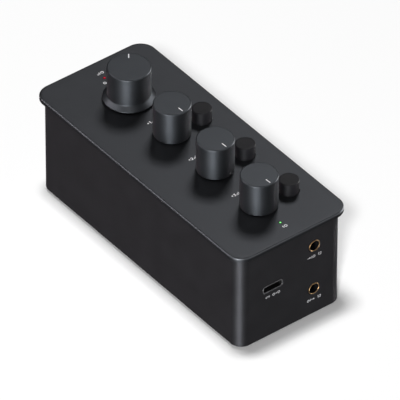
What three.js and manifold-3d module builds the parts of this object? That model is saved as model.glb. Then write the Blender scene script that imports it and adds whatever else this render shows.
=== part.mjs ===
// Headphone amplifier for a desk: a long metal box with a lid that overhangs it, one master
// knob, three channel knobs with a push button beside each, and sockets on one end.
// Millimetres. +X runs along the box to the end with the line jacks, +Y to the wall with the
// headphone jacks, +Z up. z = 0 is the surface that the feet stand on.
import * as THREE from "three";
import { mergeVertices } from "three/addons/utils/BufferGeometryUtils.js";
import Module from "manifold-3d";

const wasm = await Module();
wasm.setup();

// Box wall: a tube with rounded upright corners and a ledge inside that the base seats on
const caseLength = 117.5;
const caseWidth = 47;
const caseHeight = 41.07;
const caseWall = 1.6;
const caseCornerRadius = 4.6;
const ledgeDepth = 1.2;
const ledgeHeight = 1.5;

// Lid: a flat plate past the wall on all sides, with a pillar near each corner below it
const lidOverhang = 2;
const lidThickness = 1.85;
const lidCornerRadius = 6.4;
const lidEdgeRound = 0.5;
const pillarRadius = 2.5;

// Base plate, set up inside the wall, and the feet glued to it
const baseThickness = 1.5;
const baseRecess = 0.6;
const baseClearance = 0.3;
const footDrop = 1.2;
const footRadius = 4;
const footEdgeRound = 0.4;
const footEndInset = 15.5;
const footSideInset = 8.5;

// Bolts from below, through the base, a spacer and the main board, into the lid's pillars
const boltInset = 6.5;
const boltRadius = 1.25;
const boltHeadRadius = 2.3;
const boltHeadHeight = 1.1;
const boltSocketRadius = 0.8;
const boltSocketDepth = 0.7;
const boltGrip = 6;
const boltTipRoom = 1;
const boltClearance = 0.3;
const spacerRadius = 2.4;
const spacerHeight = 3.5;

// Boards: main board at the bottom, control board below the lid, two upright ones between
const boardThickness = 1.6;
const boardMargin = 0.8;
const boardCornerRadius = 2;
const boardGap = 0.3;
const pillarClearance = 0.5;
const riserLength = 24;
const riserSideInset = 9.5;
const riserGap = 9.5;
const portBoardMargin = 2.9;
const portBoardRise = 4.2;
const jackNotchGap = 1;
const chipLength = 5;
const chipWidth = 4;
const chipHeight = 1.5;
const chipY = -3;
const capacitorRadius = 4;
const capacitorHeight = 14;
const capacitorSpacing = 11;
const capacitorSideInset = 12.5;
const capacitorEdgeRound = 0.5;

// Row of controls: the master knob first, then the channels, at one pitch between the insets
const channelCount = 3;
const masterEndInset = 22.25;
const lastChannelEndInset = 19.05;
const buttonSideInset = 9.65;
const rowSpacing = 13.65;

// Potentiometers, one under each knob: body, threaded bushing, nut and turning shaft
const potWidth = 9.8;
const potDepth = 11.4;
const potHeight = 6.8;
const potRoof = 1.2;
const bushingRadius = 3.5;
const bushingRise = 2.9;
const bushingClearance = 0.3;
const nutAcrossFlats = 9;
const nutThickness = 1.8;
const nutClearance = 0.2;
const shaftRadius = 3;
const shaftRise = 11;
const shaftClearance = 0.1;
const shaftFlatOffset = 1.5;
const rotorRadius = 4.1;
const rotorThickness = 1;
const rotorClearance = 0.3;

// Knobs
const channelKnobRadius = 7;
const channelKnobTop = 14.1;
const channelKnobLift = 0.5;
const masterKnobRadius = 8.1;
const masterKnobTop = 14.55;
const masterKnobLift = 0.6;
const skirtRadius = 9.8;
const skirtEdgeTop = 1.1;
const skirtTop = 2.8;
const knobEdgeRound = 0.35;
const knobCavityRadius = 5.8;
const knobCavityTop = 3.3;
const knobBoreClearance = 0.15;
const knobSeatGap = 0.3;
const pointerWidth = 0.5;
const pointerDepth = 0.25;
const channelPointerStart = 3.3;
const channelPointerEnd = 6.3;
const masterPointerStart = 4.9;
const masterPointerEnd = 7.6;
const channelPointerDegrees = 3;
const masterPointerDegrees = 145;

// Push buttons and the switches below them
const buttonRadius = 3.6;
const buttonTop = 5.1;
const buttonEdgeRound = 0.25;
const buttonClearance = 0.3;
const buttonTravel = 1.2;
const buttonFlangeWidth = 0.9;
const buttonFlangeThickness = 0.8;
const buttonRestGap = 0.3;
const plungerRadius = 1.6;
const plungerClearance = 0.3;
const plungerInCap = 2.2;
const plungerInSwitch = 0.7;
const plungerEndGap = 0.3;
const switchSize = 6;
const switchHeight = 3.4;

// Indicator windows: light pipes that stand on the control board and end at the lid's top
const powerLightEndInset = 6.7;
const clipLightEndInset = 7.58;
const lightRadius = 0.55;
const lightFootRadius = 1;
const lightClearance = 0.2;
const lightProud = 0.1;

// Jacks for 3.5 mm plugs: a square body behind the wall and a ring through it
const jackSize = 6.4;
const jackBoreRadius = 1.85;
const jackBoreEnd = 1;
const jackRingRadius = 2.7;
const jackRingBore = 1.95;
const jackRingProud = 0.15;
const jackRingRound = 0.3;
const jackRingClearance = 0.15;
const jackWallGap = 0.3;
const jackDepth = 10.25;
const lineJackSideInset = 12.94;
const lineInDrop = 9.79;
const lineOutHeight = 11.35;

// USB-C socket, a little above the middle between the line jacks
const usbWidth = 8.94;
const usbHeight = 3.1;
const usbCornerRadius = 1.2;
const usbWall = 0.3;
const usbClearance = 0.15;
const usbInset = 0.4;
const usbSideInset = 15.3;
const usbRise = 0.585;
const tongueWidth = 6.7;
const tongueThickness = 0.7;
const tongueInset = 1.2;
const tongueBlockWidth = 7.4;
const tongueBlockHeight = 1.9;
const tongueBlockDepth = 4;

// One overrun for every cut that has to pass a surface
const overrun = 0.5;

// Facets of round shapes
const cornerSteps = 6;
const edgeRoundSteps = 2;
const knobSides = 48;
const buttonSides = 32;
const ringSides = 24;
const smallSides = 16;

// Heights and places worked out from the sizes above
const caseBottom = footDrop;
const caseTop = caseBottom + caseHeight;
const lidTop = caseTop + lidThickness;
const baseBottom = caseBottom + baseRecess;
const baseTop = baseBottom + baseThickness;
const ampBoardBottom = baseTop + spacerHeight;
const ampBoardTop = ampBoardBottom + boardThickness;
const controlBoardTop = caseTop - potHeight;
const controlBoardBottom = controlBoardTop - boardThickness;
const insideLength = caseLength - 2 * caseWall;
const insideWidth = caseWidth - 2 * caseWall;
const insideRadius = caseCornerRadius - caseWall;
const boardLength = insideLength - 2 * boardMargin;
const boardWidth = insideWidth - 2 * boardMargin;
const jackFrontX = insideLength / 2 - jackWallGap;
const portBoardFront = jackFrontX - jackDepth;
const portBoardBack = portBoardFront - boardThickness;
const portBoardWidth = insideWidth - 2 * portBoardMargin;
const firstControlX = masterEndInset - caseLength / 2;
const controlPitch = (caseLength - masterEndInset - lastChannelEndInset) / channelCount;
const buttonRowY = caseWidth / 2 - buttonSideInset;
const knobRowY = buttonRowY - rowSpacing;
const powerLightX = caseLength / 2 - powerLightEndInset;
const clipLightX = clipLightEndInset - caseLength / 2;
const capacitorY = capacitorSideInset - caseWidth / 2;
const riserX = firstControlX + capacitorSpacing + capacitorRadius + riserGap + riserLength / 2;
const riserY = riserSideInset - caseWidth / 2;
const lineJackY = caseWidth / 2 - lineJackSideInset;
const lineInHeight = caseHeight - lineInDrop;
const usbY = usbSideInset - caseWidth / 2;
const usbCentreHeight = (lineInHeight + lineOutHeight) / 2 + usbRise;
const notchY = lineJackY - jackSize / 2 - jackNotchGap;
const notchX = portBoardBack - boardGap;

/** Gives a closed geometry as a solid that can be cut and joined. */
function solidFrom(geometry) {
  const bare = geometry.clone();
  bare.deleteAttribute("normal");
  bare.deleteAttribute("uv");
  const merged = mergeVertices(bare);
  const corners = merged.index.array;
  const kept = [];
  for (let i = 0; i < corners.length; i += 3) {
    const [a, b, c] = [corners[i], corners[i + 1], corners[i + 2]];
    if (a !== b && b !== c && c !== a) kept.push(a, b, c);
  }
  return new wasm.Manifold(new wasm.Mesh({
    numProp: 3,
    vertProperties: Float32Array.from(merged.attributes.position.array),
    triVerts: Uint32Array.from(kept),
  }));
}

/** Gives a solid back as a geometry for a mesh. */
function geometryFrom(solid) {
  const { vertProperties, triVerts } = solid.getMesh();
  const geometry = new THREE.BufferGeometry();
  geometry.setAttribute("position", new THREE.BufferAttribute(vertProperties, 3));
  geometry.setIndex(new THREE.BufferAttribute(triVerts, 1));
  geometry.computeVertexNormals();
  return geometry;
}

/** Corner points of a rectangle with rounded corners, centred on the origin. */
function roundedRectangle(length, width, radius) {
  const points = [];
  const quarters = [[1, 1], [-1, 1], [-1, -1], [1, -1]];
  quarters.forEach(([sideX, sideY], quarter) => {
    for (let step = 0; step <= cornerSteps; step += 1) {
      const angle = (quarter + step / cornerSteps) * Math.PI / 2;
      const x = sideX * (length / 2 - radius) + radius * Math.cos(angle);
      const y = sideY * (width / 2 - radius) + radius * Math.sin(angle);
      points.push(new THREE.Vector2(x, y));
    }
  });
  return points;
}

/** An upright prism over a list of points, from one height to another. */
function prism(points, bottom, top) {
  const shape = new THREE.Shape(points);
  const geometry = new THREE.ExtrudeGeometry(shape, { depth: top - bottom, bevelEnabled: false });
  geometry.translate(0, 0, bottom);
  return solidFrom(geometry);
}

/** A block between two opposite corners. */
function block([x0, y0, z0], [x1, y1, z1]) {
  const geometry = new THREE.BoxGeometry(x1 - x0, y1 - y0, z1 - z0);
  geometry.translate((x0 + x1) / 2, (y0 + y1) / 2, (z0 + z1) / 2);
  return solidFrom(geometry);
}

/** A shape turned about the Z axis from [radius, height] points listed from below to above. */
function turned(profile, sides) {
  const points = profile.map(([radius, height]) => new THREE.Vector2(radius, height));
  const geometry = new THREE.LatheGeometry(points, sides);
  geometry.rotateX(Math.PI / 2);
  return solidFrom(geometry);
}

/** A plain upright cylinder on the Z axis. */
function rod(radius, bottom, top, sides) {
  return turned([[0, bottom], [radius, bottom], [radius, top], [0, top]], sides);
}

/** A solid moved to a place. */
function moved(solid, x, y, z) {
  return solid.translate([x, y, z]);
}

/** A Z-axis solid laid along +X. */
function alongX(solid) {
  return solid.rotate([0, 90, 0]);
}

/** Inset and rise, from a round's lower end, of each step of a quarter round. */
function roundSteps(radius) {
  const steps = [];
  for (let step = 0; step <= edgeRoundSteps; step += 1) {
    const angle = (step / edgeRoundSteps) * Math.PI / 2;
    steps.push([radius * (1 - Math.cos(angle)), radius * Math.sin(angle)]);
  }
  return steps;
}

/** A slab with a rounded-rectangle plan whose upper edge is rounded over. */
function roundEdgedSlab(length, width, radius, bottom, top, edgeRound) {
  const layers = [[0, bottom]];
  for (const [inset, rise] of roundSteps(edgeRound)) layers.push([inset, top - edgeRound + rise]);
  const rings = layers.map(([inset, height]) => {
    const points = roundedRectangle(length - 2 * inset, width - 2 * inset, radius - inset);
    return points.map((point) => [point.x, point.y, height]);
  });
  const size = rings[0].length;
  const index = [];
  for (let layer = 0; layer + 1 < rings.length; layer += 1) {
    for (let i = 0; i < size; i += 1) {
      const a = layer * size + i;
      const b = layer * size + (i + 1) % size;
      index.push(a, b, b + size, a, b + size, a + size);
    }
  }
  const last = (rings.length - 1) * size;
  for (let i = 1; i + 1 < size; i += 1) {
    index.push(0, i + 1, i);
    index.push(last, last + i, last + i + 1);
  }
  const geometry = new THREE.BufferGeometry();
  geometry.setAttribute("position", new THREE.Float32BufferAttribute(rings.flat(2), 3));
  geometry.setIndex(index);
  return solidFrom(geometry);
}

/** A named mesh with a finish of its own. */
function piece(name, solid, [colour, roughness, metalness]) {
  const material = new THREE.MeshStandardMaterial({ color: colour, roughness, metalness });
  const mesh = new THREE.Mesh(geometryFrom(solid), material);
  mesh.name = name;
  return mesh;
}

// Finishes: colour, roughness and metalness
const blackAnodised = [0x3a3b3e, 0.5, 0.8];
const blackPaint = [0x2c2b2d, 0.55, 0.2];
const knobMetal = [0x3e3f42, 0.4, 0.85];
const buttonPlastic = [0x1c1b1d, 0.5, 0];
const darkPlastic = [0x101012, 0.6, 0];
const steel = [0xb9bbc0, 0.35, 1];
const gold = [0xc9a05a, 0.3, 1];
const rubber = [0x161616, 0.9, 0];
const boardGreen = [0x1f4a34, 0.6, 0];
const boardBlack = [0x17181a, 0.6, 0];
const greenLens = [0x58e070, 0.2, 0];
const redLens = [0xb01c34, 0.2, 0];
const sleeve = [0x22262e, 0.45, 0];

/** The four corners of a rectangle of places, from the insets of the case's faces. */
function cornerPlaces(endInset, sideInset) {
  const x = caseLength / 2 - endInset;
  const y = caseWidth / 2 - sideInset;
  return [[x, y], [-x, y], [-x, -y], [x, -y]];
}

const boltPlaces = cornerPlaces(boltInset, boltInset);
const footPlaces = cornerPlaces(footEndInset, footSideInset);
const channelPlaces = [];
for (let channel = 1; channel <= channelCount; channel += 1) {
  channelPlaces.push(firstControlX + channel * controlPitch);
}
const knobPlaces = [firstControlX, ...channelPlaces];
const headphoneJackHeight = ampBoardTop + jackSize / 2;

/** The wall of the box, with its ledge and the holes for jacks and USB socket. */
function makeBodyShell() {
  const outside = prism(roundedRectangle(caseLength, caseWidth, caseCornerRadius), caseBottom, caseTop);
  const ledgeLength = insideLength - 2 * ledgeDepth;
  const ledgeWidth = insideWidth - 2 * ledgeDepth;
  const ledgeRadius = insideRadius - ledgeDepth;
  const ledgeTop = baseTop + ledgeHeight;
  const inside = roundedRectangle(insideLength, insideWidth, insideRadius);
  const insideLedge = roundedRectangle(ledgeLength, ledgeWidth, ledgeRadius);
  let shell = outside.subtract(prism(inside, caseBottom - overrun, baseTop));
  shell = shell.subtract(prism(insideLedge, baseTop - overrun, ledgeTop + overrun));
  shell = shell.subtract(prism(inside, ledgeTop, caseTop + overrun));
  const reach = caseWall + 2 * overrun;
  const ringHole = rod(jackRingRadius + jackRingClearance, -reach / 2, reach / 2, ringSides);
  const wallX = caseLength / 2 - caseWall / 2;
  for (const height of [lineInHeight, lineOutHeight]) {
    shell = shell.subtract(moved(alongX(ringHole), wallX, lineJackY, caseBottom + height));
  }
  const wallY = caseWidth / 2 - caseWall / 2;
  for (const x of channelPlaces) {
    shell = shell.subtract(moved(ringHole.rotate([90, 0, 0]), x, wallY, headphoneJackHeight));
  }
  const slot = roundedRectangle(
    usbHeight + 2 * usbClearance,
    usbWidth + 2 * usbClearance,
    usbCornerRadius + usbClearance,
  );
  const usbHole = alongX(prism(slot, -reach / 2, reach / 2));
  return shell.subtract(moved(usbHole, wallX, usbY, caseBottom + usbCentreHeight));
}

/** The lid with its holes for bushings, buttons and lights, and its four pillars. */
function makeLid() {
  const length = caseLength + 2 * lidOverhang;
  const width = caseWidth + 2 * lidOverhang;
  let lid = roundEdgedSlab(length, width, lidCornerRadius, caseTop, lidTop, lidEdgeRound);
  const holeBottom = caseTop - overrun;
  const holeTop = lidTop + overrun;
  const bushingHole = rod(bushingRadius + bushingClearance, holeBottom, holeTop, smallSides);
  for (const x of knobPlaces) lid = lid.subtract(moved(bushingHole, x, knobRowY, 0));
  const buttonHole = rod(buttonRadius + buttonClearance, holeBottom, holeTop, buttonSides);
  for (const x of channelPlaces) lid = lid.subtract(moved(buttonHole, x, buttonRowY, 0));
  const lightHole = rod(lightRadius + lightClearance, holeBottom, holeTop, smallSides);
  for (const x of [powerLightX, clipLightX]) lid = lid.subtract(moved(lightHole, x, knobRowY, 0));
  const pillar = rod(pillarRadius, ampBoardTop, caseTop + lidThickness / 2, smallSides);
  const threadTop = ampBoardTop + boltGrip + boltTipRoom;
  const thread = rod(boltRadius + boltClearance, ampBoardTop - overrun, threadTop, smallSides);
  const boredPillar = pillar.subtract(thread);
  for (const [x, y] of boltPlaces) lid = lid.add(moved(boredPillar, x, y, 0));
  return lid;
}

/** The base plate with its countersunk bolt holes. */
function makeBasePlate() {
  const outline = roundedRectangle(
    insideLength - 2 * baseClearance,
    insideWidth - 2 * baseClearance,
    insideRadius - baseClearance,
  );
  let plate = prism(outline, baseBottom, baseTop);
  const shankHole = boltRadius + boltClearance;
  const headHole = boltHeadRadius + boltClearance;
  const hole = turned([
    [0, baseBottom - overrun],
    [headHole, baseBottom - overrun],
    [headHole, baseBottom],
    [shankHole, baseBottom + boltHeadHeight],
    [shankHole, baseTop + overrun],
    [0, baseTop + overrun],
  ], smallSides);
  for (const [x, y] of boltPlaces) plate = plate.subtract(moved(hole, x, y, 0));
  return plate;
}

/** A countersunk bolt, head down, with a six-sided socket in its head. */
function makeBolt() {
  const tip = ampBoardTop + boltGrip;
  const bolt = turned([
    [0, baseBottom],
    [boltHeadRadius, baseBottom],
    [boltRadius, baseBottom + boltHeadHeight],
    [boltRadius, tip],
    [0, tip],
  ], smallSides);
  return bolt.subtract(rod(boltSocketRadius, baseBottom - overrun, baseBottom + boltSocketDepth, 6));
}

/** A rubber foot with a rounded lower edge. */
function makeFoot() {
  return turned([
    [0, 0],
    [footRadius - footEdgeRound, 0],
    [footRadius, footEdgeRound],
    [footRadius, baseBottom],
    [0, baseBottom],
  ], smallSides);
}

/** A tube round a bolt that carries the main board. */
function makeSpacer() {
  const bore = rod(boltRadius + boltClearance, baseTop - overrun, ampBoardBottom + overrun, smallSides);
  return rod(spacerRadius, baseTop, ampBoardBottom, smallSides).subtract(bore);
}

/** The main board with its bolt holes and one amplifier chip for each channel. */
function makeAmpBoard() {
  const outline = roundedRectangle(boardLength, boardWidth, boardCornerRadius);
  let board = prism(outline, ampBoardBottom, ampBoardTop);
  const holeTop = ampBoardTop + overrun;
  const hole = rod(boltRadius + boltClearance, ampBoardBottom - overrun, holeTop, smallSides);
  for (const [x, y] of boltPlaces) board = board.subtract(moved(hole, x, y, 0));
  const chipCorner = [-chipLength / 2, -chipWidth / 2, ampBoardBottom];
  const chip = block(chipCorner, [chipLength / 2, chipWidth / 2, ampBoardTop + chipHeight]);
  for (const x of channelPlaces) board = board.add(moved(chip, x, chipY, 0));
  return board;
}

/** The control board: clear of the pillars, with a corner cut away for the upper jack. */
function makeControlBoard() {
  const outline = roundedRectangle(boardLength, boardWidth, boardCornerRadius);
  let board = prism(outline, controlBoardBottom, controlBoardTop);
  const hole = rod(
    pillarRadius + pillarClearance,
    controlBoardBottom - overrun,
    controlBoardTop + overrun,
    smallSides,
  );
  for (const [x, y] of boltPlaces) board = board.subtract(moved(hole, x, y, 0));
  const notch = block(
    [notchX, notchY, controlBoardBottom - overrun],
    [boardLength / 2 + overrun, boardWidth / 2 + overrun, controlBoardTop + overrun],
  );
  return board.subtract(notch);
}

/** The upright board behind the end wall, taller where it backs the upper jack. */
function makePortBoard() {
  const half = portBoardWidth / 2;
  const low = block(
    [portBoardBack, -half, ampBoardTop],
    [portBoardFront, half, controlBoardBottom - boardGap],
  );
  const tall = block(
    [portBoardBack, notchY + boardGap, ampBoardTop],
    [portBoardFront, half, caseBottom + lineInHeight + portBoardRise],
  );
  return low.add(tall);
}

/** The upright board that links the main board to the control board. */
function makeRiserBoard() {
  return block(
    [riserX - riserLength / 2, riserY - boardThickness / 2, ampBoardTop],
    [riserX + riserLength / 2, riserY + boardThickness / 2, controlBoardBottom],
  );
}

/** A can capacitor that stands on the main board. */
function makeCapacitor() {
  const top = ampBoardTop + capacitorHeight;
  return turned([
    [0, ampBoardTop],
    [capacitorRadius, ampBoardTop],
    [capacitorRadius, top - capacitorEdgeRound],
    [capacitorRadius - capacitorEdgeRound, top],
    [0, top],
  ], smallSides);
}

/** A potentiometer's body, with its bushing through the lid and the rotor's chamber. */
function makePotBody() {
  const box = block(
    [-potWidth / 2, -potDepth / 2, controlBoardTop],
    [potWidth / 2, potDepth / 2, caseTop],
  );
  const bushing = rod(bushingRadius, caseTop - potRoof, lidTop + bushingRise, smallSides);
  const bore = shaftRadius + shaftClearance;
  const chamber = rotorRadius + rotorClearance;
  const roof = caseTop - potRoof;
  const floor = roof - rotorThickness - 2 * rotorClearance;
  const room = turned([
    [0, floor],
    [chamber, floor],
    [chamber, roof],
    [bore, roof],
    [bore, lidTop + bushingRise + overrun],
    [0, lidTop + bushingRise + overrun],
  ], smallSides);
  return box.add(bushing).subtract(room);
}

/** The six-sided nut that clamps a potentiometer to the lid. */
function makePotNut() {
  const circumradius = nutAcrossFlats / 2 / Math.cos(Math.PI / 6);
  const bore = rod(bushingRadius + nutClearance, lidTop - overrun, lidTop + nutThickness + overrun, smallSides);
  return rod(circumradius, lidTop, lidTop + nutThickness, 6).subtract(bore);
}

/** The turning shaft: a rotor disc inside the body and a flat for the knob at its top. */
function makePotShaft() {
  const rotorTop = caseTop - potRoof - rotorClearance;
  const top = lidTop + shaftRise;
  const shaft = turned([
    [0, rotorTop - rotorThickness],
    [rotorRadius, rotorTop - rotorThickness],
    [rotorRadius, rotorTop],
    [shaftRadius, rotorTop],
    [shaftRadius, top],
    [0, top],
  ], smallSides);
  const flat = block(
    [shaftRadius - shaftFlatOffset, -shaftRadius, lidTop + knobCavityTop],
    [shaftRadius + overrun, shaftRadius, top + overrun],
  );
  return shaft.subtract(flat);
}

/** A knob from its outer [radius, height] points, bored for its shaft, with a pointer line. */
function makeKnob(outerProfile, lift, top, pointerStart, pointerEnd, pointerDegrees) {
  const outer = turned([[0, lidTop + lift], ...outerProfile, [0, lidTop + top]], knobSides);
  const cavityTop = lidTop + knobCavityTop;
  const cavity = rod(knobCavityRadius, lidTop + lift - overrun, cavityTop, knobSides);
  const boreRadius = shaftRadius + knobBoreClearance;
  const boreTop = lidTop + shaftRise + knobSeatGap;
  const flat = block(
    [shaftRadius - shaftFlatOffset + knobBoreClearance, -boreRadius, cavityTop],
    [boreRadius + overrun, boreRadius, boreTop + overrun],
  );
  const bore = rod(boreRadius, cavityTop - overrun, boreTop, smallSides).subtract(flat);
  const grooveFloor = lidTop + top - pointerDepth;
  const grooveTop = lidTop + top + overrun;
  const half = pointerWidth / 2;
  const groove = block([pointerStart + half, -half, grooveFloor], [pointerEnd - half, half, grooveTop]);
  const grooveEnd = rod(half, grooveFloor, grooveTop, smallSides);
  const pointer = groove
    .add(moved(grooveEnd, pointerStart + half, 0, 0))
    .add(moved(grooveEnd, pointerEnd - half, 0, 0))
    .rotate([0, 0, pointerDegrees]);
  return outer.subtract(cavity).subtract(bore).subtract(pointer);
}

/** Outer points of a knob's top end, rounded over. */
function knobTopPoints(radius, top) {
  const points = [];
  for (const [inset, rise] of roundSteps(knobEdgeRound)) {
    points.push([radius - inset, lidTop + top - knobEdgeRound + rise]);
  }
  return points;
}

/** The master knob, with its flared skirt. */
function makeMasterKnob() {
  const profile = [
    [skirtRadius, lidTop + masterKnobLift],
    [skirtRadius, lidTop + skirtEdgeTop],
    [masterKnobRadius, lidTop + skirtTop],
    ...knobTopPoints(masterKnobRadius, masterKnobTop),
  ];
  return makeKnob(
    profile,
    masterKnobLift,
    masterKnobTop,
    masterPointerStart,
    masterPointerEnd,
    masterPointerDegrees,
  );
}

/** A channel knob: a plain cylinder with a rounded top edge. */
function makeChannelKnob() {
  const profile = [
    [channelKnobRadius, lidTop + channelKnobLift],
    ...knobTopPoints(channelKnobRadius, channelKnobTop),
  ];
  return makeKnob(
    profile,
    channelKnobLift,
    channelKnobTop,
    channelPointerStart,
    channelPointerEnd,
    channelPointerDegrees,
  );
}

/** A button cap: its flange rests below the lid and its socket takes the plunger. */
function makeButtonCap() {
  const flangeTop = caseTop - buttonRestGap;
  const flangeBottom = flangeTop - buttonFlangeThickness;
  const flangeRadius = buttonRadius + buttonFlangeWidth;
  const profile = [[0, flangeBottom], [flangeRadius, flangeBottom], [flangeRadius, flangeTop]];
  profile.push([buttonRadius, flangeTop]);
  for (const [inset, rise] of roundSteps(buttonEdgeRound)) {
    profile.push([buttonRadius - inset, lidTop + buttonTop - buttonEdgeRound + rise]);
  }
  profile.push([0, lidTop + buttonTop]);
  const socketRadius = plungerRadius + plungerClearance;
  const socketTop = flangeBottom + plungerInCap;
  const socket = rod(socketRadius, flangeBottom - overrun, socketTop, smallSides);
  return turned(profile, buttonSides).subtract(socket);
}

/** The plunger between a button cap and its switch. */
function makePlunger() {
  const flangeBottom = caseTop - buttonRestGap - buttonFlangeThickness;
  const switchTop = controlBoardTop + switchHeight;
  return rod(
    plungerRadius,
    switchTop - plungerInSwitch,
    flangeBottom + plungerInCap - plungerEndGap,
    smallSides,
  );
}

/** A switch body on the control board, with the well that the plunger moves in. */
function makeSwitchBody() {
  const switchTop = controlBoardTop + switchHeight;
  const wellFloor = switchTop - plungerInSwitch - buttonTravel - plungerEndGap;
  const half = switchSize / 2;
  const body = block([-half, -half, controlBoardTop], [half, half, switchTop]);
  const well = rod(plungerRadius + plungerClearance, wellFloor, switchTop + overrun, smallSides);
  return body.subtract(well);
}

/** A light pipe that stands on the control board and narrows to pass the lid. */
function makeLightPipe() {
  const shoulder = caseTop - lightClearance;
  const top = lidTop + lightProud;
  return turned([
    [0, controlBoardTop],
    [lightFootRadius, controlBoardTop],
    [lightFootRadius, shoulder],
    [lightRadius, shoulder],
    [lightRadius, lidTop],
    [lightRadius / 2, top],
    [0, top],
  ], smallSides);
}

/** A jack body, its plug axis along +X, its front face at the origin. */
function makeJackBody() {
  const half = jackSize / 2;
  const body = block([-jackDepth, -half, -half], [0, half, half]);
  const bore = rod(jackBoreRadius, -jackDepth + jackBoreEnd, overrun, smallSides);
  return body.subtract(alongX(bore));
}

/** A jack's ring: from the body's front through the wall, its front lip rounded. */
function makeJackRing() {
  const length = jackWallGap + caseWall + jackRingProud;
  const profile = [[jackRingBore, 0], [jackRingRadius, 0]];
  for (const [inset, rise] of roundSteps(jackRingRound)) {
    profile.push([jackRingRadius - inset, length - jackRingRound + rise]);
  }
  for (const [inset, rise] of roundSteps(jackRingRound).reverse()) {
    profile.push([jackRingBore + inset, length - jackRingRound + rise]);
  }
  profile.push([jackRingBore, 0]);
  return alongX(turned(profile, ringSides));
}

/** The USB socket's thin shell, from the port board to just inside the end wall's face. */
function makeUsbShell() {
  const front = caseLength / 2 - usbInset;
  const outside = roundedRectangle(usbHeight, usbWidth, usbCornerRadius);
  const inside = roundedRectangle(
    usbHeight - 2 * usbWall,
    usbWidth - 2 * usbWall,
    usbCornerRadius - usbWall,
  );
  const shell = prism(outside, portBoardFront, front);
  return alongX(shell.subtract(prism(inside, portBoardFront - overrun, front + overrun)));
}

/** The USB socket's contact tongue and the block that carries it on the port board. */
function makeUsbTongue() {
  const front = caseLength / 2 - usbInset - tongueInset;
  const tongue = block(
    [portBoardFront, -tongueWidth / 2, -tongueThickness / 2],
    [front, tongueWidth / 2, tongueThickness / 2],
  );
  const carrier = block(
    [portBoardFront, -tongueBlockWidth / 2, -tongueBlockHeight / 2],
    [portBoardFront + tongueBlockDepth, tongueBlockWidth / 2, tongueBlockHeight / 2],
  );
  return tongue.add(carrier);
}

/** The enclosure: wall, lid, base, feet, bolts and spacers. */
function makeEnclosure() {
  const group = new THREE.Group();
  group.add(piece("body_shell", makeBodyShell(), blackPaint));
  group.add(piece("top_lid", makeLid(), blackAnodised));
  group.add(piece("base_plate", makeBasePlate(), blackPaint));
  boltPlaces.forEach(([x, y], i) => {
    const bolt = piece(`case_bolt_${i + 1}`, makeBolt(), steel);
    const spacer = piece(`board_spacer_${i + 1}`, makeSpacer(), steel);
    bolt.position.set(x, y, 0);
    spacer.position.set(x, y, 0);
    group.add(bolt, spacer);
  });
  footPlaces.forEach(([x, y], i) => {
    const foot = piece(`foot_${i + 1}`, makeFoot(), rubber);
    foot.position.set(x, y, 0);
    group.add(foot);
  });
  return group;
}

/** The boards and the capacitors on the main board. */
function makeElectronics() {
  const group = new THREE.Group();
  group.add(piece("amp_board", makeAmpBoard(), boardGreen));
  group.add(piece("control_board", makeControlBoard(), boardGreen));
  group.add(piece("port_board", makePortBoard(), boardGreen));
  group.add(piece("riser_board", makeRiserBoard(), boardBlack));
  [0, 1].forEach((i) => {
    const capacitor = piece(`supply_capacitor_${i + 1}`, makeCapacitor(), sleeve);
    capacitor.position.set(firstControlX + i * capacitorSpacing, capacitorY, 0);
    group.add(capacitor);
  });
  return group;
}

/** One knob with its potentiometer, at its place in the row. */
function makeControl(name, knob, x) {
  const group = new THREE.Group();
  group.add(piece(`${name}_knob`, knob, knobMetal));
  group.add(piece(`${name}_pot_shaft`, makePotShaft(), steel));
  group.add(piece(`${name}_pot_body`, makePotBody(), darkPlastic));
  group.add(piece(`${name}_pot_nut`, makePotNut(), steel));
  group.position.set(x, knobRowY, 0);
  return group;
}

/** One push button with its switch, beside its channel's knob. */
function makeButton(channel, x) {
  const group = new THREE.Group();
  group.add(piece(`button_cap_${channel}`, makeButtonCap(), buttonPlastic));
  group.add(piece(`switch_plunger_${channel}`, makePlunger(), darkPlastic));
  group.add(piece(`switch_body_${channel}`, makeSwitchBody(), darkPlastic));
  group.position.set(x, buttonRowY, 0);
  return group;
}

/** Everything that is worked or seen through the lid. */
function makeControls() {
  const group = new THREE.Group();
  group.add(makeControl("master", makeMasterKnob(), firstControlX));
  channelPlaces.forEach((x, i) => {
    group.add(makeControl(`channel_${i + 1}`, makeChannelKnob(), x));
    group.add(makeButton(i + 1, x));
  });
  const powerLight = piece("power_light_pipe", makeLightPipe(), greenLens);
  const clipLight = piece("clip_light_pipe", makeLightPipe(), redLens);
  powerLight.position.set(powerLightX, knobRowY, 0);
  clipLight.position.set(clipLightX, knobRowY, 0);
  group.add(powerLight, clipLight);
  return group;
}

/** One jack with its ring, its front face at a place and turned about Z. */
function makeJack(bodyName, ringName, [x, y, z], turn) {
  const group = new THREE.Group();
  group.add(piece(bodyName, makeJackBody(), darkPlastic));
  group.add(piece(ringName, makeJackRing(), gold));
  group.position.set(x, y, z);
  group.rotation.z = turn;
  return group;
}

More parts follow.
